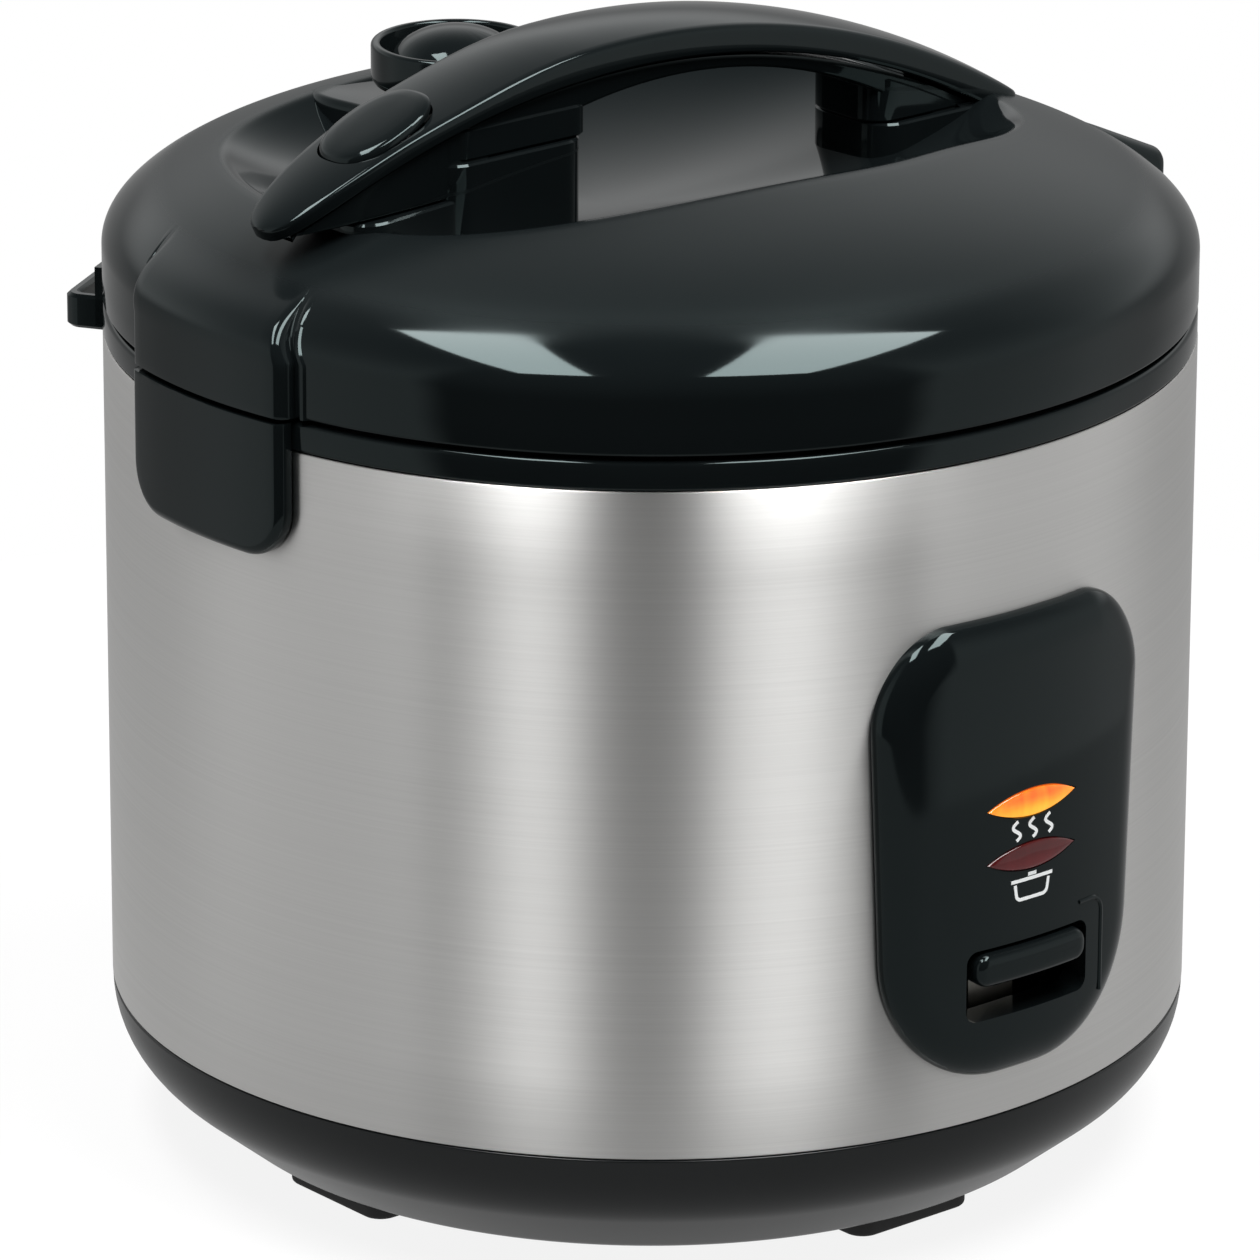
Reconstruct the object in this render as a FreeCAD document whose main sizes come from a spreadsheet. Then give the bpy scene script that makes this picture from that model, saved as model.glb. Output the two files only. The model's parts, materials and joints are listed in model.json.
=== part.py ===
import math
import os
import re

import FreeCAD
import Part
import Sketcher

# A ten-cup jar rice cooker with a hinged lid, in millimetres.
# The origin lies on the floor under the middle of the body and +Z points up.
# The control panel faces -Y, the lid's latch is at -X and its hinge at +X.

os.makedirs("parts", exist_ok=True)
DOC = FreeCAD.newDocument("rice_cooker")
SIZES = DOC.addObject("Spreadsheet::Sheet", "Sizes")

# Driving dimensions

DRIVING = [
    ("fit_gap", 0.3, "air between curved faces of different bodies"),
    ("joint_gap", 0.2, "air between fixed shells that meet"),
    ("run_gap", 0.05, "running clearance of a pin in its hole"),
    ("overcut", 1, "length of an opening's form beyond the faces it opens"),
    ("side_room", 1, "room on each side of a moving strip"),
    ("body_radius", 130, "outside of the steel jacket"),
    ("jacket_wall", 0.8, "sheet of the steel jacket"),
    ("jacket_height", 162, "visible steel"),
    ("foot_height", 5, "floor to base"),
    ("foot_inset", 15, "middle of a foot inside the bowl's flat underside"),
    ("foot_width", 36, "foot across"),
    ("foot_depth", 20, "foot towards the axis"),
    ("foot_corner", 5, "corner radius of a foot"),
    ("base_height", 33, "base bowl under the steel"),
    ("base_belt", 12, "upright part of the bowl before its curve"),
    ("base_tuck", 26, "bowl's flat underside inside the steel"),
    ("base_wall", 2.5, "wall of the bowl"),
    ("base_curve", 24, "curve of the bowl below the belt"),
    ("base_heel", 12, "curve of the bowl at its underside"),
    ("base_lip", 6, "bowl lip inside the jacket"),
    ("slot_width", 4, "air slot in the base floor"),
    ("slot_length", 22, "air slot in the base floor"),
    ("slot_reach", 58, "middle of an air slot from the axis"),
    ("rim_height", 7, "black ring above the steel"),
    ("rim_skirt", 3, "wall of the ring's skirt"),
    ("rim_flange", 3, "thickness of the ring's flange"),
    ("rim_lap", 13, "mouth of the ring inside the steel"),
    ("drum_room", 12, "inner drum inside the steel"),
    ("drum_wall", 0.8, "sheet of the inner drum"),
    ("drum_floor_height", 70, "floor to the drum's underside"),
    ("drum_ledge", 22, "ledge of the drum's floor"),
    ("drum_flange", 1.5, "collar of the drum under the ring"),
    ("post_inset", 26, "drum post inside the drum"),
    ("post_radius", 5, "drum post"),
    ("post_pad", 12, "plate on top of a drum post"),
    ("screw_radius", 1.9, "small screw shank"),
    ("screw_head", 3.6, "small screw head"),
    ("screw_head_height", 2, "small screw head"),
    ("screw_grip", 14, "length of screw inside what it holds"),
    ("screw_cover", 1.5, "handle's lower half above the tip of a screw"),
    ("plate_room", 18, "heating plate inside the drum"),
    ("plate_thick", 12, "heating plate"),
    ("plate_foot", 2, "heating plate above the drum's underside"),
    ("element_inset", 38, "heating element inside the plate's edge"),
    ("element_radius", 4, "heating element's tube"),
    ("element_angle", 320, "arc of the heating element"),
    ("sensor_radius", 18, "sensor cap"),
    ("sensor_wall", 1.5, "sensor cap sheet"),
    ("sensor_skirt", 14, "height of the sensor cap"),
    ("guide_radius", 14, "sensor guide tube"),
    ("guide_wall", 1.5, "sensor guide tube"),
    ("guide_height", 16.5, "sensor guide tube"),
    ("bracket_drop", 12, "sensor bracket under the plate"),
    ("bracket_inset", 16, "sensor bracket inside the heating element"),
    ("bracket_width", 44, "sensor bracket"),
    ("bracket_sheet", 1.5, "sensor bracket"),
    ("ferrite_thick", 6.5, "ferrite under the sensor cap"),
    ("magnet_radius", 9, "plunger magnet"),
    ("magnet_thick", 5, "plunger magnet"),
    ("magnet_rise", 1, "plunger magnet above the sensor bracket"),
    ("rod_radius", 2, "plunger rod"),
    ("spring_wire", 0.6, "wire of the sensor spring"),
    ("spring_turns", 6, "turns of the sensor spring"),
    ("pot_room", 8, "cooking pot inside the drum"),
    ("pot_wall", 1.6, "wall of the cooking pot"),
    ("pot_corner", 10, "bottom corner of the pot"),
    ("pot_flange", 6.5, "rim of the pot"),
    ("lever_drop", 22, "lever pivot under the drum"),
    ("lever_reach", 64, "lever pivot from the axis"),
    ("lever_half", 7, "half width of the lever"),
    ("lever_thick", 4, "lever strip"),
    ("lever_upright", 2, "upright of the lever behind the panel"),
    ("lever_clear", 3, "upright of the lever outside the drum"),
    ("lever_out", 2, "arm of the lever beyond the steel"),
    ("pivot_radius", 2, "lever pin"),
    ("cheek", 2, "switch bracket sheet"),
    ("cheek_depth", 22, "switch bracket along the lever"),
    ("knob_width", 34, "switch knob"),
    ("knob_height", 8, "switch knob"),
    ("knob_z", 78.5, "switch knob above the floor"),
    ("knob_proud", 2.2, "switch knob beyond the panel"),
    ("panel_proud", 6.5, "panel beyond the steel"),
    ("panel_width", 86, "control panel at its top"),
    ("panel_foot_width", 76, "control panel near its foot"),
    ("panel_low", 50, "foot of the control panel"),
    ("panel_high", 163.5, "top of the control panel"),
    ("panel_arch", 5, "rise of the panel's top edge"),
    ("panel_corner", 19, "upper corners of the panel"),
    ("panel_foot_corner", 33, "lower corners of the panel"),
    ("window_width", 37.5, "switch window in the panel"),
    ("window_low", 66, "foot of the switch window"),
    ("window_high", 83.5, "top of the switch window"),
    ("window_corner", 3, "corners of the switch window"),
    ("lens_width", 27, "indicator lens"),
    ("lens_height", 6.4, "indicator lens"),
    ("lens_proud", 0.5, "lens beyond the panel"),
    ("lens_foot", 1, "lens behind the steel"),
    ("warm_z", 117, "upper lens above the floor"),
    ("cook_z", 104, "lower lens above the floor"),
    ("lamp_radius", 2.6, "neon lamp"),
    ("lamp_length", 16, "neon lamp"),
    ("lamp_gap", 0.6, "lamp behind its lens"),
    ("lamp_tray", 1.6, "lamp tray sheet"),
    ("opening_width", 52, "window in the steel behind the panel"),
    ("opening_low", 60, "foot of the window in the steel"),
    ("opening_high", 128, "top of the window in the steel"),
    ("inlet_width", 30, "power inlet body"),
    ("inlet_height", 22, "power inlet body"),
    ("inlet_z", 55, "middle of the power inlet"),
    ("inlet_depth", 24, "power inlet from its face inwards"),
    ("inlet_wall", 2.5, "power inlet walls"),
    ("inlet_floor", 5, "power inlet back wall"),
    ("inlet_proud", 5, "inlet collar beyond the steel"),
    ("inlet_ear", 9, "screw ear of the inlet collar"),
    ("pin_width", 4, "inlet blade"),
    ("pin_thick", 2, "inlet blade"),
    ("pin_length", 12, "inlet blade beyond its base"),
    ("pin_pitch", 7, "inlet blades side by side"),
    ("block_half", 30, "half width of the latch and hinge blocks"),
    ("latch_proud", 6, "latch block beyond the steel"),
    ("latch_drop", 32, "latch cover under the seam"),
    ("latch_corner", 12, "lower corners of the latch cover"),
    ("latch_wall", 1.8, "latch cover wall"),
    ("hinge_proud", 9, "hinge block beyond the steel"),
    ("hinge_drop", 22, "hinge block under the ring's top"),
    ("hinge_axis_out", 2.5, "hinge axis beyond the steel"),
    ("hinge_axis_rise", 11, "hinge axis above the lid's edge"),
    ("hinge_relief", 1.5, "hinge block's top under the ring's top"),
    ("knuckle_rise", 1.5, "underside of the lid's knuckles above the lid's edge"),
    ("barrel_radius", 5.4, "hinge barrel"),
    ("barrel_half", 18, "half length of the hinge barrel"),
    ("coil_half", 7, "half length of the coil's room in the barrel"),
    ("hinge_pin_radius", 2, "hinge pin"),
    ("coil_wire", 0.7, "wire of the hinge spring"),
    ("coil_turns", 7, "turns of the hinge spring"),
    ("ear_angle", 148.5, "paddle loop from the front, towards the latch"),
    ("ear_half", 22, "half width of the paddle loop"),
    ("ear_proud", 11.5, "paddle loop beyond the ring"),
    ("ear_wall", 3, "wall of the paddle loop"),
    ("ear_drop", 9.2, "paddle loop's underside under the ring"),
    ("ear_height", 8.4, "height of the paddle loop"),
    ("seam_gap", 1, "dark line between the ring and the lid"),
    ("lid_side", 13, "upright side of the lid"),
    ("lid_crown", 31.7, "rise of the lid's dome"),
    ("lid_wall", 3, "wall of the lid"),
    ("bulge_sink", 0.7, "latch and hinge bulges under the dome's crown"),
    ("scoop_end", 22, "end of the hollow's form inside the steel"),
    ("scoop_side", 50, "side of the hollow's form inside the steel"),
    ("scoop_depth", 36, "depth of the hollow's form"),
    ("scoop_rise", 52, "middle of the hollow's form above the lid's edge"),
    ("scoop_shift", 16, "middle of the hollow towards the back"),
    ("handle_curve", 230, "arch of the handle"),
    ("handle_rise", 69, "top of the handle above the lid's edge"),
    ("handle_shift", 16, "top of the handle towards the latch"),
    ("handle_width", 33, "handle across"),
    ("handle_nose", 13, "handle's tip inside the steel"),
    ("handle_tail", 20, "handle's rear end inside the steel"),
    ("handle_thick", 8, "upper half of the handle"),
    ("handle_crown", 2.5, "crown of the handle's top"),
    ("handle_edge", 2, "edge radius of the handle"),
    ("handle_tip", 15, "rounding of the handle's tip"),
    ("grip_thick", 4.3, "lower half of the handle"),
    ("grip_width", 26, "lower half of the handle"),
    ("gap_front", 32, "finger gap towards the latch"),
    ("gap_rear", 58.5, "finger gap towards the hinge"),
    ("post_step", 48.5, "front post's far side behind the handle's tip"),
    ("front_seat", 43.5, "seat of the front post above the lid's edge"),
    ("web_step", 4, "nose of the web behind the handle's tip"),
    ("web_seat", 36.5, "seat of the web above the lid's edge"),
    ("tail_step", 3, "rear post's far side inside the handle's rear end"),
    ("rear_seat", 32, "seat of the rear post above the lid's edge"),
    ("seat_corner", 5, "corner radius of posts and seats"),
    ("seat_edge", 1.5, "seat beyond the post it carries"),
    ("web_run", 30, "seat of the web from the front post"),
    ("web_lap", 6, "web inside the front post"),
    ("button_length", 33, "release button"),
    ("button_width", 19, "release button"),
    ("button_step", 31, "middle of the release button behind the handle's tip"),
    ("button_proud", 4.5, "release button above the handle"),
    ("button_travel", 4, "travel of the release button"),
    ("button_gap", 0.4, "air around the release button"),
    ("button_wall", 1, "release button over its travel"),
    ("button_coil", 3.4, "release button's spring"),
    ("button_wire", 0.6, "half thickness of the button spring's wire"),
    ("button_turns", 3, "turns of the button's spring"),
    ("coil_well", 8, "well of the button's spring in the handle"),
    ("stem_step", 24, "stem of the release button behind the handle's tip"),
    ("stem_half", 2, "half thickness of the stem"),
    ("stem_width", 8, "stem of the release button"),
    ("hook_inset", 8.5, "latch pivot inside the steel"),
    ("hook_rise", 14, "latch pivot above the lid's edge"),
    ("hook_half", 7, "half width of the latch hook"),
    ("hook_boss", 4, "boss of the latch hook"),
    ("hook_shank", 2.5, "shank of the latch hook"),
    ("hook_out", 3, "shank's inner face beyond the pivot"),
    ("hook_bite", 2.2, "hook under the ring"),
    ("hook_tip", 2.7, "thickness of the hook's tip"),
    ("hook_pin_radius", 1.6, "latch pin"),
    ("liner_thick", 2.4, "inner panel of the lid"),
    ("liner_rise", 0.6, "inner panel above the lid's edge"),
    ("liner_ear", 3, "ears that hold the latch pin"),
    ("seal_inset", 14, "lid seal inside the steel"),
    ("seal_width", 12.8, "lid seal from edge to edge"),
    ("seal_lip", 2, "inner lip of the lid seal"),
    ("seal_drop", 5, "inner lip of the lid seal"),
    ("tray_thick", 1, "inner lid plate"),
    ("tray_drop", 4, "inner lid plate under the lid's edge"),
    ("grommet_radius", 7, "rubber knob of the inner lid plate"),
    ("grommet_neck", 5, "neck of the rubber knob"),
    ("grommet_lip", 1.2, "lip of the rubber knob"),
    ("stud_radius", 3.5, "stud of the inner panel in the rubber knob"),
    ("stud_height", 0.5, "stud of the inner panel in the rubber knob"),
    ("vent_x", -8, "steam vent"),
    ("vent_inset", 17, "middle of the steam vent inside the hollow's side"),
    ("vent_seat", 35, "vent platform above the lid's edge"),
    ("vent_pad", 27, "vent platform"),
    ("vent_radius", 20.5, "cup of the steam vent"),
    ("vent_wall", 2.4, "cup of the steam vent"),
    ("vent_height", 13, "steam vent above its platform"),
    ("vent_neck", 13, "neck of the steam vent"),
    ("vent_neck_wall", 2, "neck of the steam vent"),
    ("vent_neck_drop", 8, "neck of the steam vent under its platform"),
    ("vent_collar", 16, "waist of the steam vent"),
    ("vent_waist", 4.5, "height of the vent's waist"),
    ("vent_bottom", 2, "floor of the vent's cup"),
    ("vent_flare", 1, "underside of the vent's cup"),
    ("vent_dome_rise", 6, "domed cap in the vent's cup"),
    ("vent_dome_edge", 1, "edge of the domed cap"),
    ("vent_dome_wall", 1.5, "wall of the domed cap"),
    ("vent_dome_hole", 1.3, "steam hole in the domed cap"),
    ("vent_seal_thick", 0.8, "ring on the vent's neck"),
    ("vent_seal_height", 2.2, "ring on the vent's neck"),
    ("sleeve_radius", 10, "steam tube in the lid"),
    ("sleeve_wall", 2, "steam tube in the lid"),
    ("switch_length", 20, "micro switch along the lever"),
    ("switch_depth", 6, "micro switch"),
    ("switch_height", 12, "micro switch"),
    ("switch_drop", 6, "micro switch under the lever's pivot"),
    ("switch_nib", 2, "push pin of the micro switch"),
    ("tab_length", 8, "lever's tab over the micro switch"),
    ("tab_width", 6, "lever's tab over the micro switch"),
    ("fuse_radius", 2.5, "thermal fuse"),
    ("fuse_length", 16, "thermal fuse"),
    ("fuse_y", 38, "thermal fuse from the axis"),
    ("terminal_inset", 46, "middle of the terminal block inside the bowl's underside"),
    ("terminal_y", 52, "terminal block"),
    ("terminal_length", 26, "terminal block"),
    ("terminal_width", 14, "terminal block"),
    ("terminal_height", 15, "terminal block"),
]
ALIASES = {row[0] for row in DRIVING}
WORD = re.compile(r"[a-z_]+")

for line, (alias, size, meaning) in enumerate(DRIVING, start=1):
    SIZES.set(f"A{line}", meaning)
    SIZES.set(f"B{line}", str(size))
    SIZES.setAlias(f"B{line}", alias)
DOC.recompute()

# Sizes that follow from others and a clearance

FOLLOWING = {
    "base_floor_radius": "(body_radius - base_tuck)",
    "foot_reach": "(base_floor_radius - foot_inset)",
    "rim_bore": "(body_radius - rim_lap)",
    "drum_radius": "(body_radius - drum_room)",
    "drum_floor_bore": "(drum_radius - drum_ledge)",
    "post_reach": "(drum_radius - post_inset)",
    "plate_radius": "(drum_radius - plate_room)",
    "element_reach": "(plate_radius - element_inset)",
    "bracket_reach": "(element_reach - bracket_inset)",
    "pot_radius": "(drum_radius - pot_room)",
    "scoop_length": "(body_radius - scoop_end)",
    "scoop_width": "(body_radius - scoop_side)",
    "handle_front": "(body_radius - handle_nose)",
    "handle_rear": "(body_radius - handle_tail)",
    "front_post": "(handle_front - post_step)",
    "web_front": "(handle_front - web_step)",
    "rear_post": "(handle_rear - tail_step)",
    "button_x": "(handle_front - button_step)",
    "stem_x": "(handle_front - stem_step)",
    "hook_x": "(body_radius - hook_inset)",
    "seal_outer": "(body_radius - seal_inset)",
    "seal_inner": "(seal_outer - seal_width)",
    "vent_y": "(scoop_width - vent_inset)",
    "terminal_x": "(base_floor_radius - terminal_inset)",
}

# Levels that several pieces share, as formulas of the sheet

JACKET_Z = "(foot_height + base_height)"
RIM_Z = f"({JACKET_Z} + jacket_height)"
SEAM_Z = f"({RIM_Z} + rim_height)"
LID_Z = f"({SEAM_Z} + seam_gap)"
FLOOR_Z = "(foot_height + base_wall)"
DRUM_Z = "drum_floor_height"
PLATE_Z = f"({DRUM_Z} + plate_foot)"
PLATE_TOP = f"({PLATE_Z} + plate_thick)"
BRACKET_Z = f"({PLATE_Z} - bracket_drop)"
LEVER_Z = f"({DRUM_Z} - lever_drop)"
SHOULDER_Z = f"({LID_Z} + lid_side)"
HANDLE_Z = f"({LID_Z} + handle_rise - handle_curve)"
LINER_Z = f"({LID_Z} + liner_rise)"
LINER_TOP = f"({LINER_Z} + liner_thick)"
VENT_Z = f"({LID_Z} + vent_seat)"
HOOK_Z = f"({LID_Z} + hook_rise)"
HINGE_X = "(body_radius + hinge_axis_out)"
HINGE_Z = f"({LID_Z} + hinge_axis_rise)"
PANEL_OUT = "(body_radius + panel_proud)"
GRIP_TOP = "(handle_curve - handle_thick - joint_gap)"
SKIN = "(body_radius + joint_gap)"
LAMP_Y = "(jacket_wall + lens_foot + lamp_gap + lamp_radius - body_radius)"
SPRING_X = "(button_x - button_length / 4)"
SPRING_Z = f"({HANDLE_Z} + sqrt({GRIP_TOP}^2 - ({SPRING_X} - handle_shift)^2) - coil_well)"
POST_ANGLES = (45, 165, 285)
HANDLE_SCREWS = {
    "front": "(-front_post / 2 - gap_front / 2)",
    "rear": "(gap_rear / 2 + rear_post / 2)",
}

# Helpers: formulas, sketches, solids and booleans

X = FreeCAD.Vector(1, 0, 0)
Y = FreeCAD.Vector(0, 1, 0)
Z = FreeCAD.Vector(0, 0, 1)
TURN = {
    "X": FreeCAD.Rotation(Y, 90),
    "Y": FreeCAD.Rotation(X, -90),
    "Z": FreeCAD.Rotation(),
}
PIECES = {}


def formula(text):
    """The text with following sizes written out and every size named as a cell of the sheet."""
    while any(word in FOLLOWING for word in WORD.findall(text)):
        text = WORD.sub(lambda word: FOLLOWING.get(word[0], word[0]), text)
    return WORD.sub(lambda word: f"Sizes.{word[0]}" if word[0] in ALIASES else word[0], text)


def value(text):
    """The number that a formula gives now."""
    return float(SIZES.evalExpression(formula(text)))


def drive(item, name, text):
    """Bind one property of an object to a formula."""
    item.setExpression(name, formula(text))


def place(item, x="0", y="0", z="0"):
    """Bind the place of an object to formulas."""
    for letter, text in zip("xyz", (x, y, z)):
        drive(item, f"Placement.Base.{letter}", text)
    return item


def node(name, item):
    """Name a finished sub-part."""
    item.Label = name
    PIECES[name] = item
    return item


def dimension(sketch, kind, geometry, end, text):
    """Hold one coordinate of a sketch point at a formula."""
    size = value(text)
    if size < 0:
        row = Sketcher.Constraint(kind, geometry, end, -1, 1, -size)
        text = f"-({text})"
    else:
        row = Sketcher.Constraint(kind, -1, 1, geometry, end, size)
    index = sketch.addConstraint(row)
    drive(sketch, f"Constraints[{index}]", text)


def hold(sketch, geometry, end, x, y):
    """Hold a sketch point at two formulas, or on an axis where one is zero."""
    for kind, axis, text in (("DistanceX", -2, x), ("DistanceY", -1, y)):
        if text == "0":
            sketch.addConstraint(Sketcher.Constraint("PointOnObject", geometry, end, axis))
        else:
            dimension(sketch, kind, geometry, end, text)


def outline(sketch, corners):
    """A closed outline of straight sides, each corner (x, y) or (x, y, radius)."""
    spots = [FreeCAD.Vector(value(corner[0]), value(corner[1]), 0) for corner in corners]
    enters = []
    leaves = []
    arcs = []
    for index, (corner, spot) in enumerate(zip(corners, spots)):
        back = (spots[index - 1] - spot).normalize()
        ahead = (spots[(index + 1) % len(spots)] - spot).normalize()
        if len(corner) < 3:
            enters.append(spot)
            leaves.append(spot)
            arcs.append(None)
            continue
        radius = value(corner[2])
        half = back.getAngle(ahead) / 2
        reach = radius / math.tan(half)
        middle = spot + (back + ahead).normalize() * (radius / math.sin(half))
        enters.append(spot + back * reach)
        leaves.append(spot + ahead * reach)
        left_turn = ahead.cross(back).z > 0
        ends = (enters[-1], leaves[-1]) if left_turn else (leaves[-1], enters[-1])
        angles = [math.atan2(end.y - middle.y, end.x - middle.x) for end in ends]
        arc = Part.ArcOfCircle(Part.Circle(middle, Z, radius), *angles)
        arcs.append((sketch.addGeometry(arc), 1 if left_turn else 2, 2 if left_turn else 1))
    count = len(spots)
    sides = []
    for index in range(count):
        side = Part.LineSegment(leaves[index], enters[(index + 1) % count])
        sides.append(sketch.addGeometry(side))
    for index, corner in enumerate(corners):
        before = sides[index - 1]
        after = sides[index]
        if arcs[index] is None:
            sketch.addConstraint(Sketcher.Constraint("Coincident", before, 2, after, 1))
            hold(sketch, after, 1, corner[0], corner[1])
            continue
        arc, enter, leave = arcs[index]
        sketch.addConstraint(Sketcher.Constraint("Tangent", before, 2, arc, enter))
        sketch.addConstraint(Sketcher.Constraint("Tangent", arc, leave, after, 1))
        radius = sketch.addConstraint(Sketcher.Constraint("Radius", arc, value(corner[2])))
        drive(sketch, f"Constraints[{radius}]", corner[2])
        point = sketch.addGeometry(Part.Point(spots[index]), True)
        sketch.addConstraint(Sketcher.Constraint("PointOnObject", point, 1, before))
        sketch.addConstraint(Sketcher.Constraint("PointOnObject", point, 1, after))
        hold(sketch, point, 1, corner[0], corner[1])


def new_sketch(body, role, lift="0", rise="0"):
    """A sketch on one of the body's origin planes, moved along its normal and up."""
    sketch = body.newObject("Sketcher::SketchObject", f"{body.Name}_sketch")
    plane = [item for item in body.Origin.OriginFeatures if item.Role == role][0]
    sketch.AttachmentSupport = [(plane, "")]
    sketch.MapMode = "FlatFace"
    drive(sketch, "AttachmentOffset.Base.z", lift)
    drive(sketch, "AttachmentOffset.Base.y", rise)
    return sketch


def new_body(name):
    return DOC.addObject("PartDesign::Body", name)


def revolve(body, sketch, axis="V_Axis"):
    """Turn a sketch all the way round one of its own axes."""
    feature = body.newObject("PartDesign::Revolution", f"{body.Name}_turn")
    feature.Profile = sketch
    feature.ReferenceAxis = (sketch, [axis])
    feature.Angle = 360
    return body


def turned(name, corners):
    """A round piece from half its section, as (radius, height) corners."""
    body = new_body(name)
    sketch = new_sketch(body, "XZ_Plane")
    outline(sketch, corners)
    return revolve(body, sketch)


def domed(name, radius, crown, foot, shoulder):
    """A round piece with an upright side and a half ellipse above it."""
    body = new_body(name)
    sketch = new_sketch(body, "XZ_Plane")
    reach, rise, low, mid = (value(text) for text in (radius, crown, foot, shoulder))
    ellipse = Part.Ellipse(FreeCAD.Vector(0, mid, 0), reach, rise)
    arc = sketch.addGeometry(Part.ArcOfEllipse(ellipse, 0, math.pi / 2))
    sketch.exposeInternalGeometry(arc)
    corners = [(0, mid + rise), (0, low), (reach, low), (reach, mid)]
    spots = [FreeCAD.Vector(x, y, 0) for x, y in corners]
    axis, floor, side = (
        sketch.addGeometry(Part.LineSegment(start, end)) for start, end in zip(spots, spots[1:])
    )
    major = arc + 1
    for row in (
        ("Horizontal", major),
        ("PointOnObject", arc, 3, -2),
        ("Horizontal", arc, 3, arc, 1),
        ("Coincident", arc, 2, axis, 1),
        ("Coincident", axis, 2, floor, 1),
        ("Coincident", floor, 2, side, 1),
        ("Coincident", side, 2, arc, 1),
        ("PointOnObject", axis, 1, -2),
        ("Vertical", axis),
        ("Horizontal", floor),
        ("Vertical", side),
    ):
        sketch.addConstraint(Sketcher.Constraint(*row))
    dimension(sketch, "DistanceX", arc, 1, radius)
    dimension(sketch, "DistanceY", arc, 3, shoulder)
    dimension(sketch, "DistanceY", arc, 2, f"{shoulder} + {crown}")
    dimension(sketch, "DistanceY", floor, 1, foot)
    return revolve(body, sketch)


def padded(name, corners, low, high, role="XY_Plane"):
    """A plate with a closed outline, from one level to another along its plane's normal."""
    body = new_body(name)
    sketch = new_sketch(body, role, low)
    outline(sketch, corners)
    pad = body.newObject("PartDesign::Pad", f"{name}_pad")
    pad.Profile = sketch
    drive(pad, "Length", f"{high} - ({low})")
    return body


def oblong(x_low, x_high, y_low, y_high, radius):
    """Corners of a rounded rectangle."""
    spots = ((x_low, y_low), (x_high, y_low), (x_high, y_high), (x_low, y_high))
    return [(x, y, radius) for x, y in spots]


def box(name, x_low, x_high, y_low, y_high, z_low, z_high):
    item = DOC.addObject("Part::Box", name)
    drive(item, "Length", f"{x_high} - ({x_low})")
    drive(item, "Width", f"{y_high} - ({y_low})")
    drive(item, "Height", f"{z_high} - ({z_low})")
    return place(item, x_low, y_low, z_low)


def rod(name, radius, length, x="0", y="0", z="0", axis="Z"):
    """A cylinder that starts at a point and runs along an axis."""
    item = DOC.addObject("Part::Cylinder", name)
    item.Placement = FreeCAD.Placement(FreeCAD.Vector(), TURN[axis])
    drive(item, "Radius", radius)
    drive(item, "Height", length)
    return place(item, x, y, z)


def ball(name, length, width, depth, x, y, z):
    """An ellipsoid with half axes along X, Y and Z."""
    item = DOC.addObject("Part::Ellipsoid", name)
    drive(item, "Radius1", depth)
    drive(item, "Radius2", length)
    drive(item, "Radius3", width)
    return place(item, x, y, z)


def cut(name, base, *tools):
    """Take every tool off the base, one after another."""
    for index, tool in enumerate(tools):
        last = index == len(tools) - 1
        item = DOC.addObject("Part::Cut", name if last else f"{name}_cut_{index}")
        item.Base = base
        item.Tool = tool
        base = item
    return base


def fuse(name, *items):
    item = DOC.addObject("Part::MultiFuse", name)
    item.Shapes = list(items)
    return item


def shared(name, *items):
    item = DOC.addObject("Part::MultiCommon", name)
    item.Shapes = list(items)
    return item


def group(name, items):
    """Several separate solids in one node."""
    item = DOC.addObject("Part::Compound", name)
    item.Links = items
    return item


def tube(name, outer, inner, low, high, x="0", y="0"):
    """A straight tube that stands up."""
    wall = rod(f"{name}_wall", outer, f"{high} - ({low})", x, y, low)
    bore = rod(f"{name}_bore", inner, f"{high} - ({low})", x, y, low)
    return cut(name, wall, bore)


def coil(name, reach, wire, length, turns, x, y, z, axis="Z"):
    """A spring of round wire."""
    path = DOC.addObject("Part::Helix", f"{name}_path")
    drive(path, "Radius", reach)
    drive(path, "Pitch", f"({length} - 2 * {wire}) / {turns}")
    drive(path, "Height", f"{length} - 2 * {wire}")
    section = DOC.addObject("Part::Circle", f"{name}_section")
    section.Placement = FreeCAD.Placement(FreeCAD.Vector(), FreeCAD.Rotation(X, 90))
    drive(section, "Radius", wire)
    drive(section, "Placement.Base.x", reach)
    sweep = DOC.addObject("Part::Sweep", name)
    sweep.Sections = [section]
    sweep.Spine = (path, ["Edge1"])
    sweep.Solid = True
    sweep.Frenet = True
    sweep.Placement = FreeCAD.Placement(FreeCAD.Vector(), TURN[axis])
    return place(sweep, x, y, z)


def polar(reach, degrees):
    """A point at a distance from the axis, turned from the front towards the hinge."""
    return f"({reach}) * sin({degrees})", f"-({reach}) * cos({degrees})"


# Base, feet and steel jacket

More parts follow.
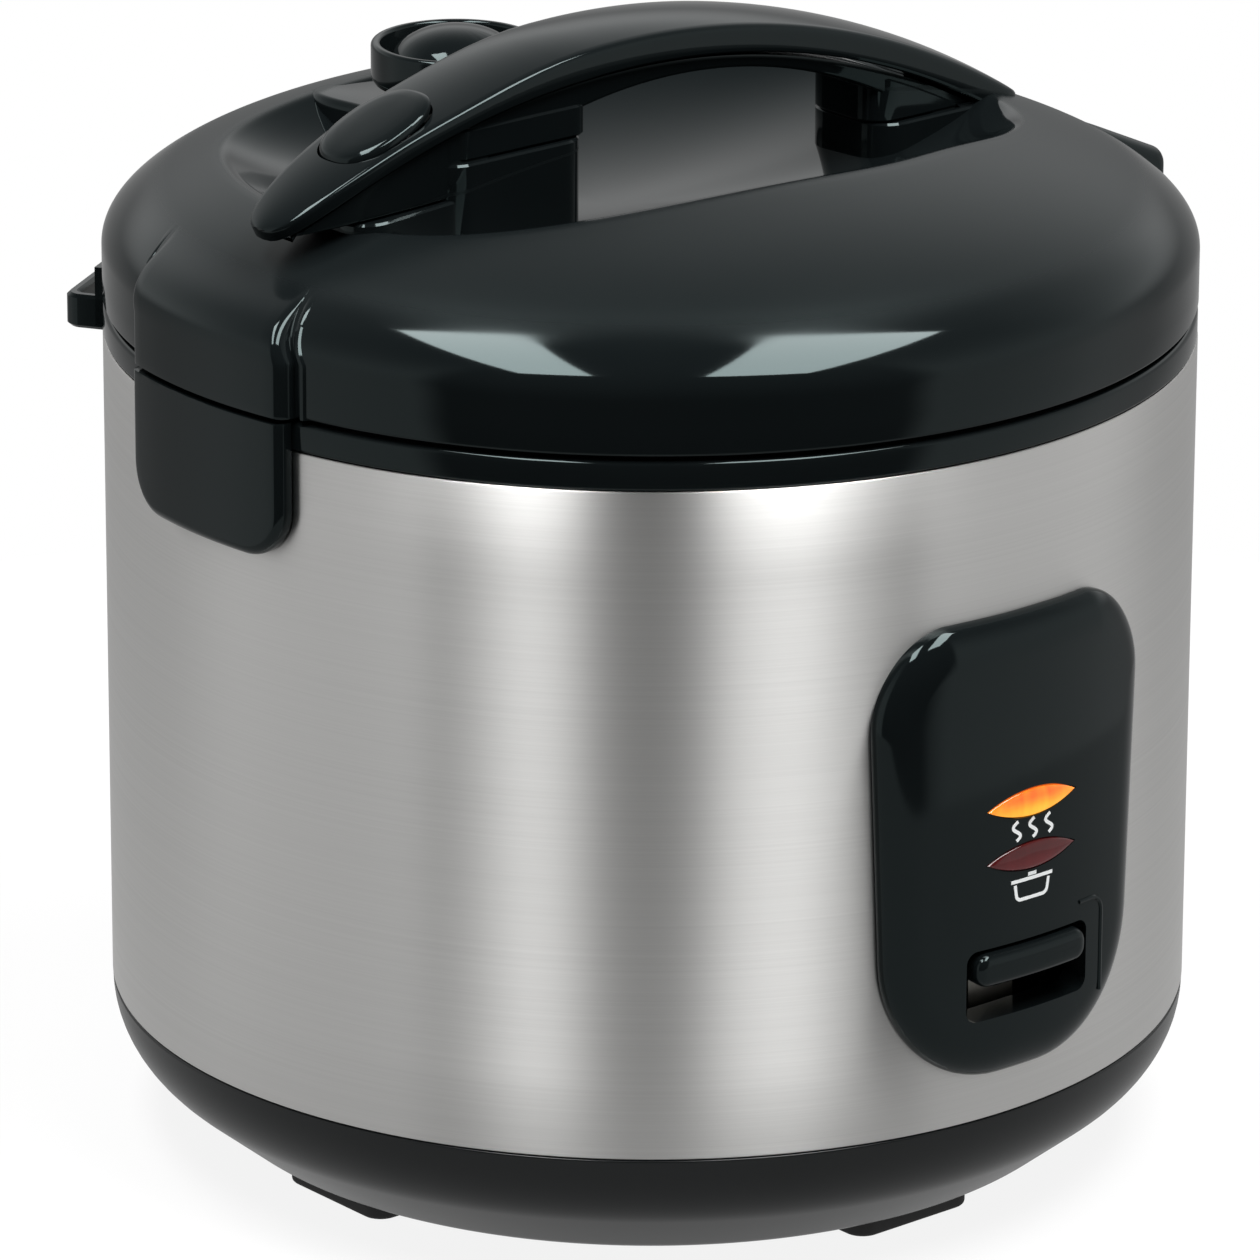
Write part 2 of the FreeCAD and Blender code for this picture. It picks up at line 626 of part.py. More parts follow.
def make_base():
    bowl = turned("base_bowl", [
        ("0", "foot_height"),
        ("base_floor_radius", "foot_height", "base_heel"),
        ("body_radius", f"{JACKET_Z} - base_belt", "base_curve"),
        ("body_radius", f"{JACKET_Z} - joint_gap"),
        ("body_radius - jacket_wall - joint_gap", f"{JACKET_Z} - joint_gap"),
        ("body_radius - jacket_wall - joint_gap", f"{JACKET_Z} + base_lip"),
        ("body_radius - jacket_wall - joint_gap - base_wall", f"{JACKET_Z} + base_lip"),
        ("body_radius - jacket_wall - joint_gap - base_wall", f"{JACKET_Z} - base_belt",
         "base_curve - base_wall"),
        ("base_floor_radius - base_wall", FLOOR_Z),
        ("0", FLOOR_Z),
    ])
    slots = []
    for degrees in range(15, 360, 30):
        slot = padded(
            f"air_slot_{degrees}",
            oblong("-slot_width / 2", "slot_width / 2", "slot_reach - slot_length / 2",
                   "slot_reach + slot_length / 2", "slot_width * 0.48"),
            "0", f"{FLOOR_Z} + base_wall",
        )
        slot.Placement.Rotation = FreeCAD.Rotation(Z, degrees)
        slots.append(slot)
    holes = [
        rod(f"base_hole_{degrees}", "screw_radius + run_gap", f"{FLOOR_Z} + base_wall",
            *polar("post_reach", degrees))
        for degrees in POST_ANGLES
    ]
    node("base_housing", cut("base_housing", bowl, group("air_slots", slots), group("base_holes", holes)))


def make_feet():
    for name, degrees in (("front", 0), ("hinge", 90), ("back", 180), ("latch", 270)):
        foot = padded(
            f"foot_{name}",
            oblong("-foot_width / 2", "foot_width / 2", "-foot_reach - foot_depth / 2",
                   "-foot_reach + foot_depth / 2", "foot_corner"),
            "0", "foot_height",
        )
        foot.Placement.Rotation = FreeCAD.Rotation(Z, degrees)
        node(f"foot_{name}", foot)


def make_jacket():
    sheet = tube("jacket_sheet", "body_radius", "body_radius - jacket_wall", JACKET_Z, RIM_Z)
    panel_window = box("panel_window", "-opening_width / 2", "opening_width / 2",
                       "-body_radius - jacket_wall", "0", "opening_low", "opening_high")
    inlet_window = box("inlet_window", "-inlet_width / 2 - joint_gap", "inlet_width / 2 + joint_gap",
                       "0", "body_radius + jacket_wall",
                       "inlet_z - inlet_height / 2 - joint_gap", "inlet_z + inlet_height / 2 + joint_gap")
    node("steel_jacket", cut("steel_jacket", sheet, panel_window, inlet_window))


def make_rim():
    ring = turned("rim_section", [
        ("rim_bore", SEAM_Z),
        ("rim_bore", f"{SEAM_Z} - rim_flange"),
        ("body_radius - rim_skirt", f"{SEAM_Z} - rim_flange"),
        ("body_radius - rim_skirt", RIM_Z),
        ("body_radius", RIM_Z),
        ("body_radius", SEAM_Z),
    ])
    keeper = box("keeper_slot", "-body_radius - rim_skirt", "-hook_x - hook_out + hook_bite",
                 "-hook_half - side_room", "hook_half + side_room",
                 f"{RIM_Z} - overcut", f"{SEAM_Z} + overcut")
    node("rim_ring", cut("rim_ring", ring, keeper))


def make_ear():
    outer = oblong("-ear_half", "ear_half", "body_radius - ear_wall", "body_radius + ear_proud",
                   "ear_proud * 0.6")
    inner = oblong("-ear_half + 2 * ear_wall", "ear_half - 2 * ear_wall", "body_radius - 2 * ear_wall",
                   "body_radius + ear_proud - ear_wall", "ear_wall")
    low = f"({RIM_Z} - ear_drop)"
    high = f"({low} + ear_height)"
    loop = padded("ear_outer", outer, low, high)
    hole = padded("ear_inner", inner, f"{low} - overcut", f"{high} + overcut")
    tabs = [
        padded(f"ear_tab_{name}", oblong(start, f"{start} + 2 * ear_wall", "body_radius - ear_wall",
                                         "body_radius + ear_wall", "ear_wall / 3"),
               low, f"{SEAM_Z} - joint_gap")
        for name, start in (("front", "-ear_half"), ("back", "(ear_half - 2 * ear_wall)"))
    ]
    for item in (loop, hole, *tabs):
        item.Placement.Rotation = FreeCAD.Rotation(Z, 180 - value("ear_angle"))
        drive(item, "Placement.Rotation.Angle", "180 - ear_angle")
    core = rod("ear_core", SKIN, "rim_height * 4", z=f"{low} - overcut")
    node("paddle_loop", cut("paddle_loop", fuse("ear_body", loop, *tabs), hole, core))


# Latch cover and hinge on the body

def arc_block(name, proud, half, low, high, towards, corner=None):
    """A block that follows the round body, towards +X or -X."""
    ring = tube(f"{name}_ring", f"body_radius + {proud}", SKIN, low, high)
    corners = [("-" + half, low), (half, low), (half, high), ("-" + half, high)]
    if corner:
        corners = [(x, y, corner) if y == low else (x, y) for x, y in corners]
    face = padded(f"{name}_face", corners, "0", "body_radius * 2", role="YZ_Plane")
    if towards == "-X":
        face.Placement.Rotation = FreeCAD.Rotation(Z, 180)
    return shared(f"{name}_block", ring, face)


def make_latch_cover():
    block = arc_block("latch_cover", "latch_proud", "block_half", f"{SEAM_Z} - latch_drop", SEAM_Z,
                      "-X", "latch_corner")
    room = tube("latch_room", "body_radius + latch_proud - latch_wall", "body_radius - latch_wall",
                f"{RIM_Z} - hook_tip", f"{SEAM_Z} + overcut")
    well = box("latch_well", "-2 * body_radius", "0", "-hook_half - 2 * side_room",
               "hook_half + 2 * side_room", f"{RIM_Z} - hook_tip", f"{SEAM_Z} + overcut")
    node("latch_cover", cut("latch_cover", block, shared("latch_hollow", room, well)))


def make_hinge_block():
    top = f"{SEAM_Z} - hinge_relief"
    block = arc_block("hinge_block", "hinge_proud", "block_half", f"{SEAM_Z} - hinge_drop", top,
                      "+X", "latch_corner")
    neck = box("hinge_neck", "body_radius + joint_gap", f"{HINGE_X} + barrel_radius",
               "-barrel_half", "barrel_half", f"{top} - overcut", HINGE_Z)
    barrel = rod("hinge_barrel", "barrel_radius", "2 * barrel_half", HINGE_X, "-barrel_half", HINGE_Z, "Y")
    bore = rod("hinge_bore", "hinge_pin_radius + run_gap", "4 * block_half", HINGE_X, "-2 * block_half",
               HINGE_Z, "Y")
    room = box("coil_room", f"{HINGE_X} - 2 * barrel_radius", f"{HINGE_X} + 2 * barrel_radius",
               "-coil_half", "coil_half", top, f"{HINGE_Z} + 2 * barrel_radius")
    node("hinge_block", cut("hinge_block", fuse("hinge_body", block, neck, barrel), bore, room))
    node("hinge_pin", rod("hinge_pin", "hinge_pin_radius", "2 * (block_half - side_room)", HINGE_X,
                          "side_room - block_half", HINGE_Z, "Y"))
    node("hinge_spring", coil("hinge_spring", "hinge_pin_radius + fit_gap + coil_wire", "coil_wire",
                              "2 * (coil_half - fit_gap)", "coil_turns", HINGE_X,
                              "coil_wire + fit_gap - coil_half", HINGE_Z, "Y"))


# Drum, heating plate, sensor and pot

def make_drum():
    node("inner_drum", turned("inner_drum", [
        ("drum_floor_bore", DRUM_Z),
        ("drum_radius", DRUM_Z),
        ("drum_radius", f"{SEAM_Z} - rim_flange - drum_wall"),
        ("drum_radius + drum_flange", f"{SEAM_Z} - rim_flange - drum_wall"),
        ("drum_radius + drum_flange", f"{SEAM_Z} - rim_flange"),
        ("drum_radius - drum_wall", f"{SEAM_Z} - rim_flange"),
        ("drum_radius - drum_wall", f"{DRUM_Z} + plate_foot"),
        ("drum_floor_bore", f"{DRUM_Z} + plate_foot"),
    ]))
    for index, degrees in enumerate(POST_ANGLES, start=1):
        spot = polar("post_reach", degrees)
        shaft = rod(f"post_shaft_{index}", "post_radius", f"{DRUM_Z} - {FLOOR_Z}", *spot, FLOOR_Z)
        pad = rod(f"post_pad_{index}", "post_pad", "bracket_sheet", *spot, f"{DRUM_Z} - bracket_sheet")
        bore = rod(f"post_bore_{index}", "screw_radius", "screw_grip", *spot, FLOOR_Z)
        node(f"drum_post_{index}", cut(f"drum_post_{index}", fuse(f"post_body_{index}", shaft, pad), bore))
    screws = []
    for degrees in POST_ANGLES:
        spot = polar("post_reach", degrees)
        shank = rod(f"screw_shank_{degrees}", "screw_radius", "base_wall + screw_grip", *spot, "foot_height")
        head = rod(f"screw_head_{degrees}", "screw_head", "screw_head_height", *spot,
                   "foot_height - screw_head_height")
        screws.append(fuse(f"base_screw_{degrees}", shank, head))
    node("base_screws", group("base_screws", screws))


def make_plate():
    disc = turned("plate_disc", [
        ("sensor_radius + fit_gap", PLATE_Z),
        ("plate_radius", PLATE_Z),
        ("plate_radius", f"{PLATE_TOP} - plate_thick / 2", "plate_thick / 4"),
        ("plate_radius - plate_thick", PLATE_TOP, "plate_thick / 4"),
        ("sensor_radius + fit_gap", PLATE_TOP),
    ])
    groove = DOC.addObject("Part::Torus", "element_groove")
    drive(groove, "Radius1", "element_reach")
    drive(groove, "Radius2", "element_radius + joint_gap")
    place(groove, z=PLATE_Z)
    node("heating_plate", cut("heating_plate", disc, groove))
    ring = DOC.addObject("Part::Torus", "element_ring")
    drive(ring, "Radius1", "element_reach")
    drive(ring, "Radius2", "element_radius")
    drive(ring, "Angle3", "element_angle")
    place(ring, z=PLATE_Z)
    ends = []
    for index, degrees in enumerate(("0", "element_angle"), start=1):
        x = f"element_reach * cos({degrees})"
        y = f"element_reach * sin({degrees})"
        ends.append(rod(f"element_end_{index}", "element_radius * 0.9", "plate_thick + element_radius",
                        x, y, f"{PLATE_Z} - plate_thick - element_radius"))
    element = fuse("heating_element", ring, *ends)
    element.Placement.Rotation = FreeCAD.Rotation(Z, 110)
    node("heating_element", element)
    fuse_z = f"{PLATE_Z} - fuse_radius"
    node("thermal_fuse", rod("thermal_fuse", "fuse_radius", "fuse_length", "-fuse_length / 2", "fuse_y",
                             fuse_z, "X"))


def make_sensor():
    node("sensor_cap", turned("sensor_cap", [
        ("0", PLATE_TOP),
        ("sensor_radius", PLATE_TOP, "sensor_wall"),
        ("sensor_radius", f"{PLATE_TOP} - sensor_skirt"),
        ("sensor_radius - sensor_wall", f"{PLATE_TOP} - sensor_skirt"),
        ("sensor_radius - sensor_wall", f"{PLATE_TOP} - sensor_wall"),
        ("0", f"{PLATE_TOP} - sensor_wall"),
    ]))
    node("sensor_ferrite", rod("sensor_ferrite", "guide_radius - guide_wall - side_room", "ferrite_thick",
                               z=f"{PLATE_TOP} - sensor_wall - ferrite_thick"))
    node("sensor_guide", tube("sensor_guide", "guide_radius", "guide_radius - guide_wall", BRACKET_Z,
                              f"{BRACKET_Z} + guide_height"))
    strip = box("bracket_strip", "-bracket_reach", "bracket_reach", "-bracket_width / 2", "bracket_width / 2",
                f"{BRACKET_Z} - bracket_sheet", BRACKET_Z)
    legs = [
        box(f"bracket_leg_{name}", low, f"{low} + bracket_sheet", "-bracket_width / 2", "bracket_width / 2",
            f"{BRACKET_Z} - bracket_sheet", PLATE_Z)
        for name, low in (("latch", "-bracket_reach"), ("hinge", "bracket_reach - bracket_sheet"))
    ]
    hole = rod("bracket_hole", "rod_radius + fit_gap", "4 * bracket_sheet",
               z=f"{BRACKET_Z} - 2 * bracket_sheet")
    node("sensor_bracket", cut("sensor_bracket", fuse("bracket_body", strip, *legs), hole))
    node("sensor_spring", coil("sensor_spring", "guide_radius + fit_gap + spring_wire", "spring_wire",
                               f"{PLATE_TOP} - sensor_wall - {BRACKET_Z}", "spring_turns",
                               "0", "0", f"{BRACKET_Z} + spring_wire"))
    magnet_z = f"{BRACKET_Z} + magnet_rise"
    node("plunger_magnet", rod("plunger_magnet", "magnet_radius", "magnet_thick", z=magnet_z))
    foot = f"{LEVER_Z} + lever_thick / 2 + fit_gap"
    node("plunger_rod", rod("plunger_rod", "rod_radius", f"{magnet_z} - ({foot})", z=foot))


def make_pot():
    foot = f"{PLATE_TOP} + fit_gap"
    node("inner_pot", turned("inner_pot", [
        ("0", foot),
        ("pot_radius", foot, "pot_corner"),
        ("pot_radius", f"{SEAM_Z} - pot_wall"),
        ("pot_radius + pot_flange", f"{SEAM_Z} - pot_wall"),
        ("pot_radius + pot_flange", SEAM_Z),
        ("pot_radius - pot_wall", SEAM_Z),
        ("pot_radius - pot_wall", f"{foot} + pot_wall", "pot_corner - pot_wall"),
        ("0", f"{foot} + pot_wall"),
    ]))


# Switch lever and what it works

def make_switch():
    low = f"{LEVER_Z} - lever_thick / 2"
    high = f"{LEVER_Z} + lever_thick / 2"
    back = "-drum_radius - lever_clear"
    front = f"({back} - lever_upright)"
    bar = box("lever_bar", "-lever_half", "lever_half", front, "rod_radius * 2", low, high)
    upright = box("lever_upright", "-lever_half", "lever_half", front, back, low, "knob_z + lever_thick / 2")
    arm = box("lever_arm", "-lever_half", "lever_half", "-body_radius - lever_out", back,
              "knob_z - lever_thick / 2", "knob_z + lever_thick / 2")
    boss = rod("lever_boss", "pivot_radius * 2", "2 * lever_half", "-lever_half", "-lever_reach",
               LEVER_Z, "X")
    hole = rod("lever_hole", "pivot_radius + run_gap", "4 * lever_half", "-2 * lever_half", "-lever_reach",
               LEVER_Z, "X")
    tab_y = "(-lever_reach - cheek_depth / 2 - tab_width / 2 - side_room)"
    tab = box("lever_tab", "0", "lever_half + tab_length", f"{tab_y} - tab_width / 2",
              f"{tab_y} + tab_width / 2", low, high)
    node("switch_lever", cut("switch_lever", fuse("lever_body", bar, upright, arm, boss, tab), hole))
    inner = "(lever_half + fit_gap)"
    cheeks = [
        box(f"cheek_{name}", start, f"{start} + cheek", "-lever_reach - cheek_depth / 2",
            "-lever_reach + cheek_depth / 2", FLOOR_Z, f"{LEVER_Z} + pivot_radius * 3")
        for name, start in (("latch", f"-{inner} - cheek"), ("hinge", inner))
    ]
    floor = box("bracket_floor", f"-{inner} - cheek", f"{inner} + cheek", "-lever_reach - cheek_depth",
                "-lever_reach + cheek_depth / 2", FLOOR_Z, f"{FLOOR_Z} + cheek")
    bores = rod("cheek_bores", "pivot_radius + run_gap", "8 * lever_half", "-4 * lever_half", "-lever_reach",
                LEVER_Z, "X")
    node("switch_bracket", cut("switch_bracket", fuse("switch_frame", floor, *cheeks), bores))
    node("lever_pin", rod("lever_pin", "pivot_radius", f"2 * ({inner} + 2 * cheek)",
                          f"-{inner} - 2 * cheek", "-lever_reach", LEVER_Z, "X"))
    start = f"({inner} + cheek)"
    top = f"({LEVER_Z} - switch_drop)"
    case = box("switch_case", start, f"{start} + switch_depth", "-lever_reach - cheek_depth",
               "-lever_reach - cheek_depth + switch_length", f"{top} - switch_height", top)
    nib = box("switch_nib", f"{start} + switch_nib", f"{start} + 2 * switch_nib",
              f"{tab_y} - switch_nib / 2", f"{tab_y} + switch_nib / 2",
              f"{top} - switch_nib", f"{top} + switch_nib")
    node("micro_switch", fuse("micro_switch", case, nib))


# Control panel

def panel_corners():
    top = "panel_width / 2"
    foot = "panel_foot_width / 2"
    return [
        ("-" + foot, "panel_low", "panel_foot_corner"),
        (foot, "panel_low", "panel_foot_corner"),
        (top, "panel_high - panel_arch", "panel_corner"),
        ("0", "panel_high", "panel_width * 2"),
        ("-" + top, "panel_high - panel_arch", "panel_corner"),
    ]


def lens_prism(name, z, grow):
    """A leaf-shaped prism along Y: the room that two equal round bars share."""
    rise = f"(lens_height / 2 + {grow})"
    reach = f"(lens_width / 2 + {grow})"
    radius = f"(({reach}^2 + {rise}^2) / (2 * {rise}))"
    bars = [
        rod(f"{name}_bar_{side}", radius, "body_radius", "0", "-body_radius * 1.5",
            f"{z} {sign} ({radius} - {rise})", "Y")
        for side, sign in (("high", "+"), ("low", "-"))
    ]
    return shared(name, *bars)


def make_panel():
    shell = tube("panel_ring", PANEL_OUT, SKIN, "panel_low - overcut", "panel_high + overcut")
    face = padded("panel_face", panel_corners(), "0", "body_radius * 2", role="XZ_Plane")
    window = padded("switch_window", oblong("-window_width / 2", "window_width / 2", "window_low",
                                            "window_high", "window_corner"),
                    "0", "body_radius * 2", role="XZ_Plane")
    cuts = [window]
    for name, z in (("warm", "warm_z"), ("cook", "cook_z")):
        cuts.append(lens_prism(f"{name}_hole", z, "joint_gap"))
        skin = tube(f"{name}_lens_ring", f"{PANEL_OUT} + lens_proud", "body_radius - jacket_wall - lens_foot",
                    f"{z} - lens_height", f"{z} + lens_height")
        node(f"{name}_lens", shared(f"{name}_lens", lens_prism(f"{name}_leaf", z, "0"), skin))
        node(f"{name}_lamp", rod(f"{name}_lamp", "lamp_radius", "lamp_length", "-lamp_length / 2", LAMP_Y,
                                 z, "X"))
    node("control_panel", cut("control_panel", shared("panel_block", shell, face), *cuts))
    low = "cook_z - lens_height"
    high = "warm_z + lens_height"
    back = f"({LAMP_Y} + lamp_radius)"
    side = "(lens_width / 2 + lens_foot)"
    tray = box("tray_back", f"-{side} - lamp_tray", f"{side} + lamp_tray", back, f"{back} + lamp_tray",
               low, high)
    arms = [
        box(f"tray_arm_{name}", start, f"{start} + lamp_tray", "-body_radius - overcut", back, low, high)
        for name, start in (("latch", f"-{side} - lamp_tray"), ("hinge", side))
    ]
    reach = rod("tray_reach", "body_radius", "body_radius * 2")
    node("lamp_tray", shared("lamp_tray", fuse("tray_body", tray, *arms), reach))
    skin = tube("knob_ring", f"{PANEL_OUT} + knob_proud", "body_radius + lever_out / 2", "window_low",
                "window_high")
    cap = padded("knob_face", oblong("-knob_width / 2", "knob_width / 2", "knob_z - knob_height / 2",
                                     "knob_z + knob_height / 2", "knob_height * 0.35"),
                 "0", "body_radius * 2", role="XZ_Plane")
    slot = box("knob_slot", "-lever_half - joint_gap", "lever_half + joint_gap",
               "-body_radius - lever_out - joint_gap", "0",
               "knob_z - lever_thick / 2 - joint_gap", "knob_z + lever_thick / 2 + joint_gap")
    node("switch_knob", cut("switch_knob", shared("knob_block", skin, cap), slot))


# Power inlet at the back

def make_inlet():
    low = "inlet_z - inlet_height / 2"
    high = "inlet_z + inlet_height / 2"
    face_y = "(body_radius + inlet_proud)"
    case = box("inlet_case", "-inlet_width / 2", "inlet_width / 2", f"{face_y} - inlet_depth", face_y,
               low, high)
    ring = tube("inlet_ring", "body_radius + inlet_wall", SKIN, f"{low} - inlet_wall", f"{high} + inlet_wall")
    plate = box("inlet_plate", "-inlet_width / 2 - inlet_ear", "inlet_width / 2 + inlet_ear", "0",
                "body_radius * 2", f"{low} - inlet_wall", f"{high} + inlet_wall")
    room = padded("inlet_room", oblong("-inlet_width / 2 + inlet_wall", "inlet_width / 2 - inlet_wall",
                                       f"{low} + inlet_wall", f"{high} - inlet_wall", "inlet_wall"),
                  f"-{face_y} - overcut", f"-{face_y} + inlet_depth - inlet_floor", role="XZ_Plane")
    ears = [f"{sign}(inlet_width / 2 + inlet_ear / 2)" for sign in ("-", "")]
    holes, bores = (
        [
            rod(f"{name}_{index}", "screw_radius + run_gap", "body_radius", x, "body_radius / 2",
                "inlet_z", "Y")
            for index, x in enumerate(ears)
        ]
        for name in ("inlet_hole", "jacket_bore")
    )
    blades = []
    for name, x, rise in (("live", "-pin_pitch", "-"), ("earth", "0", "+"), ("neutral", "pin_pitch", "-")):
        z = f"inlet_z {rise} pin_width / 2"
        blades.append(box(f"inlet_blade_{name}", f"{x} - pin_thick / 2", f"{x} + pin_thick / 2",
                          f"{face_y} - inlet_depth - inlet_floor",
                          f"{face_y} - inlet_depth + inlet_floor + pin_length",
                          f"{z} - pin_width / 2", f"{z} + pin_width / 2"))
    pins = group("inlet_pins", blades)
    body = fuse("inlet_body", case, shared("inlet_collar", ring, plate))
    node("power_inlet", cut("power_inlet", body, room, pins, group("inlet_holes", holes)))
    node("inlet_pins", pins)
    screws = []
    for index, x in enumerate(ears):
        seat = "sqrt((body_radius + inlet_wall)^2 - (inlet_width / 2 + inlet_ear / 2 - screw_head)^2)"
        shank = rod(f"inlet_shank_{index}", "screw_radius", "screw_grip", x, f"{seat} - screw_grip",
                    "inlet_z", "Y")
        head = rod(f"inlet_head_{index}", "screw_head", "screw_head_height", x, seat, "inlet_z", "Y")
        screws.append(fuse(f"inlet_screw_{index}", shank, head))
    node("inlet_screws", group("inlet_screws", screws))
    jacket = PIECES["steel_jacket"]
    jacket.Label = "jacket_plain"
    node("steel_jacket", cut("steel_jacket_bored", jacket, group("jacket_bores", bores)))
    node("terminal_block", box("terminal_block", "terminal_x - terminal_length / 2",
                               "terminal_x + terminal_length / 2", "terminal_y - terminal_width / 2",
                               "terminal_y + terminal_width / 2", FLOOR_Z, f"{FLOOR_Z} + terminal_height"))


# Lid shell with the hollow, the seats and the blocks

def scoop(name, grow):
    return ball(name, f"scoop_length + {grow}", f"scoop_width + {grow}", f"scoop_depth + {grow}",
                "0", "scoop_shift", f"{LID_Z} + scoop_rise")


def lid_block(name, proud, trim, towards):
    """The bulge of the lid over the latch or the hinge."""
    dome = domed(f"{name}_dome", f"body_radius + {proud} - ({trim})", f"lid_crown - ({trim}) - bulge_sink",
                 LID_Z, SHOULDER_Z)
    half = f"(block_half - ({trim}))"
    near = "body_radius * 0.7"
    far = "body_radius * 2"
    span = (near, far) if towards == "+X" else (f"-{far}", f"-{near}")
    face = box(f"{name}_span", *span, f"-{half}", half, f"{LID_Z} - overcut", f"{LID_Z} + handle_rise")
    return shared(name, dome, face)


def seats(name, grow):
    """The raised seats in the hollow under the feet of the handle."""
    half = "(grip_width / 2 + seat_edge)"
    return [
        padded(f"{place_name}_{name}", oblong(x_low, x_high, f"-{half}", half, "seat_corner"),
               f"{LINER_TOP} + lid_wall", f"{LID_Z} + {rise} + {grow}")
        for place_name, x_low, x_high, rise in (
            ("front", "-front_post - seat_edge", "-gap_front + seat_edge", "front_seat"),
            ("web", "-front_post - web_run", "-front_post + seat_corner", "web_seat"),
            ("rear", "gap_rear - seat_edge", "rear_post - web_lap", "rear_seat"),
        )
    ]


def stem_slot(name):
    """The slot that the release button's stem runs in."""
    return box(name, "-stem_x - stem_half - side_room", "-stem_x + stem_half + side_room",
               "-stem_width / 2 - side_room", "stem_width / 2 + side_room",
               LID_Z, f"{LID_Z} + 2 * handle_rise")


def make_lid():
    dome = domed("lid_dome", "body_radius", "lid_crown", LID_Z, SHOULDER_Z)
    bulges = [
        lid_block("latch_bulge", "latch_proud", "0", "-X"),
        lid_block("hinge_bulge", "hinge_proud", "0", "+X"),
    ]
    hollow = cut("lid_hollowed", fuse("lid_block", dome, *bulges), scoop("scoop_face", "0"))
    pad = rod("vent_pad", "vent_pad", f"{VENT_Z} - {LINER_TOP} - lid_wall", "vent_x", "vent_y",
              f"{LINER_TOP} + lid_wall")
    reach = rod("seat_reach", "body_radius - lid_wall", "body_radius * 3")
    trims = [shared(f"{item.Name}_trim", item, reach) for item in seats("seat", "0")]
    outer = fuse("lid_outer", hollow, shared("vent_pad_trim", pad, dome), *trims)
    inner = domed("lid_inner_dome", "body_radius - lid_wall", "lid_crown - lid_wall", f"{LID_Z} - overcut",
                  SHOULDER_Z)
    latch_room = lid_block("latch_inner", "latch_proud", "lid_wall", "-X")
    room = cut("lid_room", fuse("lid_room_block", inner, latch_room), scoop("scoop_back", "lid_wall"))
    vent_room = rod("vent_room", "vent_pad - lid_wall", "vent_seat - lid_wall", "vent_x", "vent_y", LID_Z)
    vent_hole = rod("vent_hole", "vent_neck + vent_seal_thick + fit_gap", "body_radius", "vent_x", "vent_y",
                    LID_Z)
    notch = box("hinge_notch", "body_radius - lid_wall - 2 * fit_gap", "body_radius * 2",
                "-barrel_half - fit_gap", "barrel_half + fit_gap", f"{LID_Z} - overcut",
                f"{HINGE_Z} + barrel_radius + hinge_relief")
    relief = tube("hinge_relief", "body_radius * 1.5", "body_radius", f"{LID_Z} - overcut",
                  f"{LID_Z} + knuckle_rise")
    relief_side = box("relief_side", "0", "body_radius * 2", "-body_radius", "body_radius",
                      f"{LID_Z} - overcut", f"{LID_Z} + knuckle_rise")
    bore = rod("knuckle_bore", "hinge_pin_radius + run_gap", "4 * block_half", HINGE_X, "-2 * block_half",
               HINGE_Z, "Y")
    screw_holes = [
        rod(f"seat_hole_{name}", "screw_radius + run_gap", "body_radius", x, "0", LID_Z)
        for name, x in HANDLE_SCREWS.items()
    ]
    node("lid_shell", cut("lid_shell", outer, room, vent_room, vent_hole, notch,
                          shared("knuckle_relief", relief, relief_side), bore, stem_slot("lid_stem_hole"),
                          *screw_holes))


